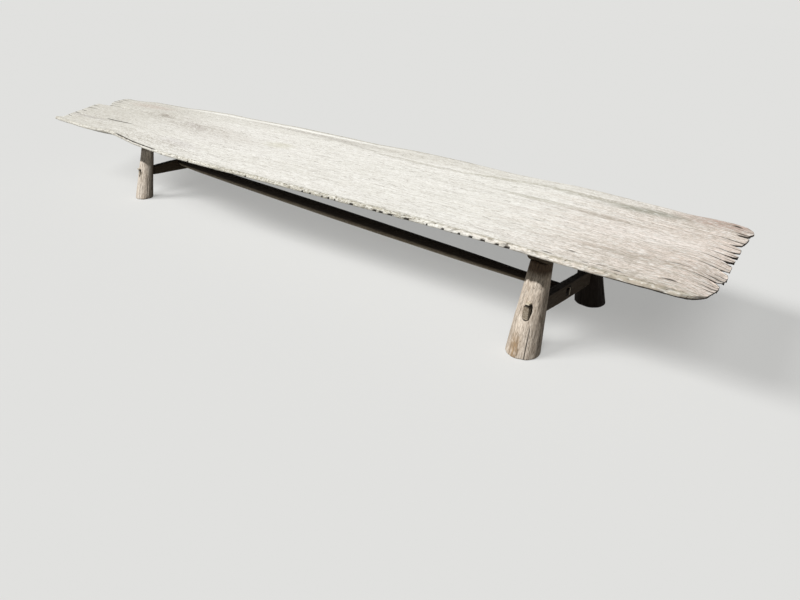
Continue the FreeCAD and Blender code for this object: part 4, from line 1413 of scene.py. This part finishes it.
# A brown fleck of resin just above the foot, in the leg's own grain: up the leg, right and back
RESIN_STAIN = ((0.03, -0.007, -0.06), (0.085, 0.030, 0.05), 0, "a08056", 0.85)
# Pinkish grey with coarse dark fibres, so that the legs look like logs beside the smooth board
leg_wood = weathered("weathered_log", LEG_COLOURS | {"face": "e9dfd2", "patch": "dacdbd"}, LEG_CELLS,
                     bump_mm=LEG_BUMP_MM)
# The same log a little duller and stained, for the leg that stands nearest
stained_wood = weathered("stained_log", LEG_COLOURS, LEG_CELLS, tints=[RESIN_STAIN],
                         bump_mm=LEG_BUMP_MM)
for name, leg in legs.items():
    leg.data.materials.append(stained_wood if "front_right" in name else leg_wood)
    if "left" in name:
        set_reach(suns["bench_sun"], leg, "EXCLUDE")
        set_reach(suns["fan_sun"], leg, "INCLUDE")

# %% Rail, stretcher, bearer, wedge and peg wood
SHADED_WOOD = {
    "face": "c9bca8", "patch": "b5a690", "streak": "917f69", "streak_share": 0.5, "fibre": "75634f",
    "fibre_share": 0.5, "speck": "83725d", "speck_share": 0.3, "hair": "4a3d30", "hair_share": 0.6,
    "shine": "e6dcc9", "shine_share": 0.4, "bark": "a8977b", "fleck": "5d5546", "painted_shade": "463824",
    "painted_shade_share": 1.0, "painted_deep_shade": "1b140e"}
SHADED_CELLS = {"patch": (200, 50), "streak": (170, 9), "fibre": (45, 5), "speck": (12, 5),
                "hair": (140, 15), "shine": (30, 5), "fleck": (26, 5)}
SPLIT_CELLS = {"patch": (60, 20), "streak": (40, 5), "fibre": (20, 2), "speck": (7, 2), "hair": (50, 9),
               "shine": (20, 2), "fleck": (26, 5)}
# Brown and dull, with painted shade laid over it at full strength, so that the bench is dark below
rail_wood = weathered("old_hewn_rail", SHADED_WOOD, SHADED_CELLS)
bearer_wood = weathered("hewn_bearer", SHADED_WOOD | {"face": "bdae98"}, SHADED_CELLS)
# Paler, with long thin fibres, so that the pole reads as one straight stem
pole_wood = weathered("shaved_pole_wood", SHADED_WOOD | {"face": "d0c3ae", "patch": "bcad96"},
                      SHADED_CELLS | {"streak": (260, 9), "fibre": (60, 3)})
# Fresh and fine-grained, so that the small cap over a rail's tenon shows against its leg
wedge_wood = weathered("split_wedge", SHADED_WOOD | {"face": "e0d6c2", "patch": "d3c7b0"}, SPLIT_CELLS,
                       marked=False)
peg_wood = weathered("split_peg", SHADED_WOOD, SPLIT_CELLS, marked=False)
SLOT_WOODS = {"rail_wood": rail_wood, "stretcher_wood": pole_wood, "bearer_wood": bearer_wood,
              "wedge_wood": wedge_wood, "peg_wood": peg_wood, "board_wood": board_wood,
              "leg_wood": leg_wood}


def finish_in(piece, material):
    piece.data.materials.clear()
    piece.data.materials.append(material)


for piece in hewn.values():
    finish_in(piece, SLOT_WOODS[piece["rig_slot"]])
finish_in(stretcher, pole_wood)

# %% [markdown]
# Where the stretcher goes into a rail, both are painted dark as shade: the pole before it meets the
# rail, and the rail round the hole. These marks need the pole's own line, so they are set last.

# %% Painted shade at the stretcher's joints
# Where the painted shade at the pole's end starts before its last place, and over what length it grows
# dark
POLE_DARK = (80 * MM, 12 * MM)
# How far from the pole's line a rail is painted dark as shade, and over what length that ends
MORTISE_DARK = (24 * MM, -5 * MM)


def from_pole_line(mesh):
    """How far along the pole's line each point of a mesh lies, and how far and which way off it."""
    points = mesh_points(mesh)
    along = (points - pole_start) @ pole_way
    return along, points - pole_start - along[:, None] * pole_way


along, off = from_pole_line(stretcher.data)
# Painted shade: the pole is darker on its upper side, which the seat shades, and dark where it nears the
# rail
upward = soft_step(0.6 + off[:, 2] / np.linalg.norm(off, axis=1))
in_rail = ramp(along, pole_stations[-1] - POLE_DARK[0], POLE_DARK[1])
keep_mark(stretcher.data, "timber", np.stack([along, off[:, 1], off[:, 2]], -1))
keep_mark(stretcher.data, "painted_shade", mix(0.4, 1, upward))
keep_mark(stretcher.data, "painted_deep_shade", np.maximum(PAINTED_SHADE_STRENGTH * upward ** 2, in_rail))
for end in ("left", "right"):
    mesh = hewn[f"{end}_cross_rail"].data
    _, off = from_pole_line(mesh)
    in_mortise = ramp(np.linalg.norm(off, axis=1), *MORTISE_DARK).astype(np.float32)
    painted_deep_shade = np.empty(len(off), np.float32)
    mesh.attributes["painted_deep_shade"].data.foreach_get("value", painted_deep_shade)
    mesh.attributes["painted_deep_shade"].data.foreach_set("value", np.maximum(painted_deep_shade, in_mortise))
    print(end, "rail:", int((in_mortise > 0.5).sum()), "points lie in the hole of the stretcher")

# %% Pieces that keep their solids
for row in frame["record"]["subparts"]:
    node = frame["nodes"][row["node"]]
    if not node.hide_render:
        finish_in(node, SLOT_WOODS[row["material_slot"]])
        print(row["node"], "keeps its solid, in", SLOT_WOODS[row["material_slot"]].name)

# %% [markdown]
# ## Sizes
#
# The finished bench may not be larger than its solids.

# %% Import json
import json
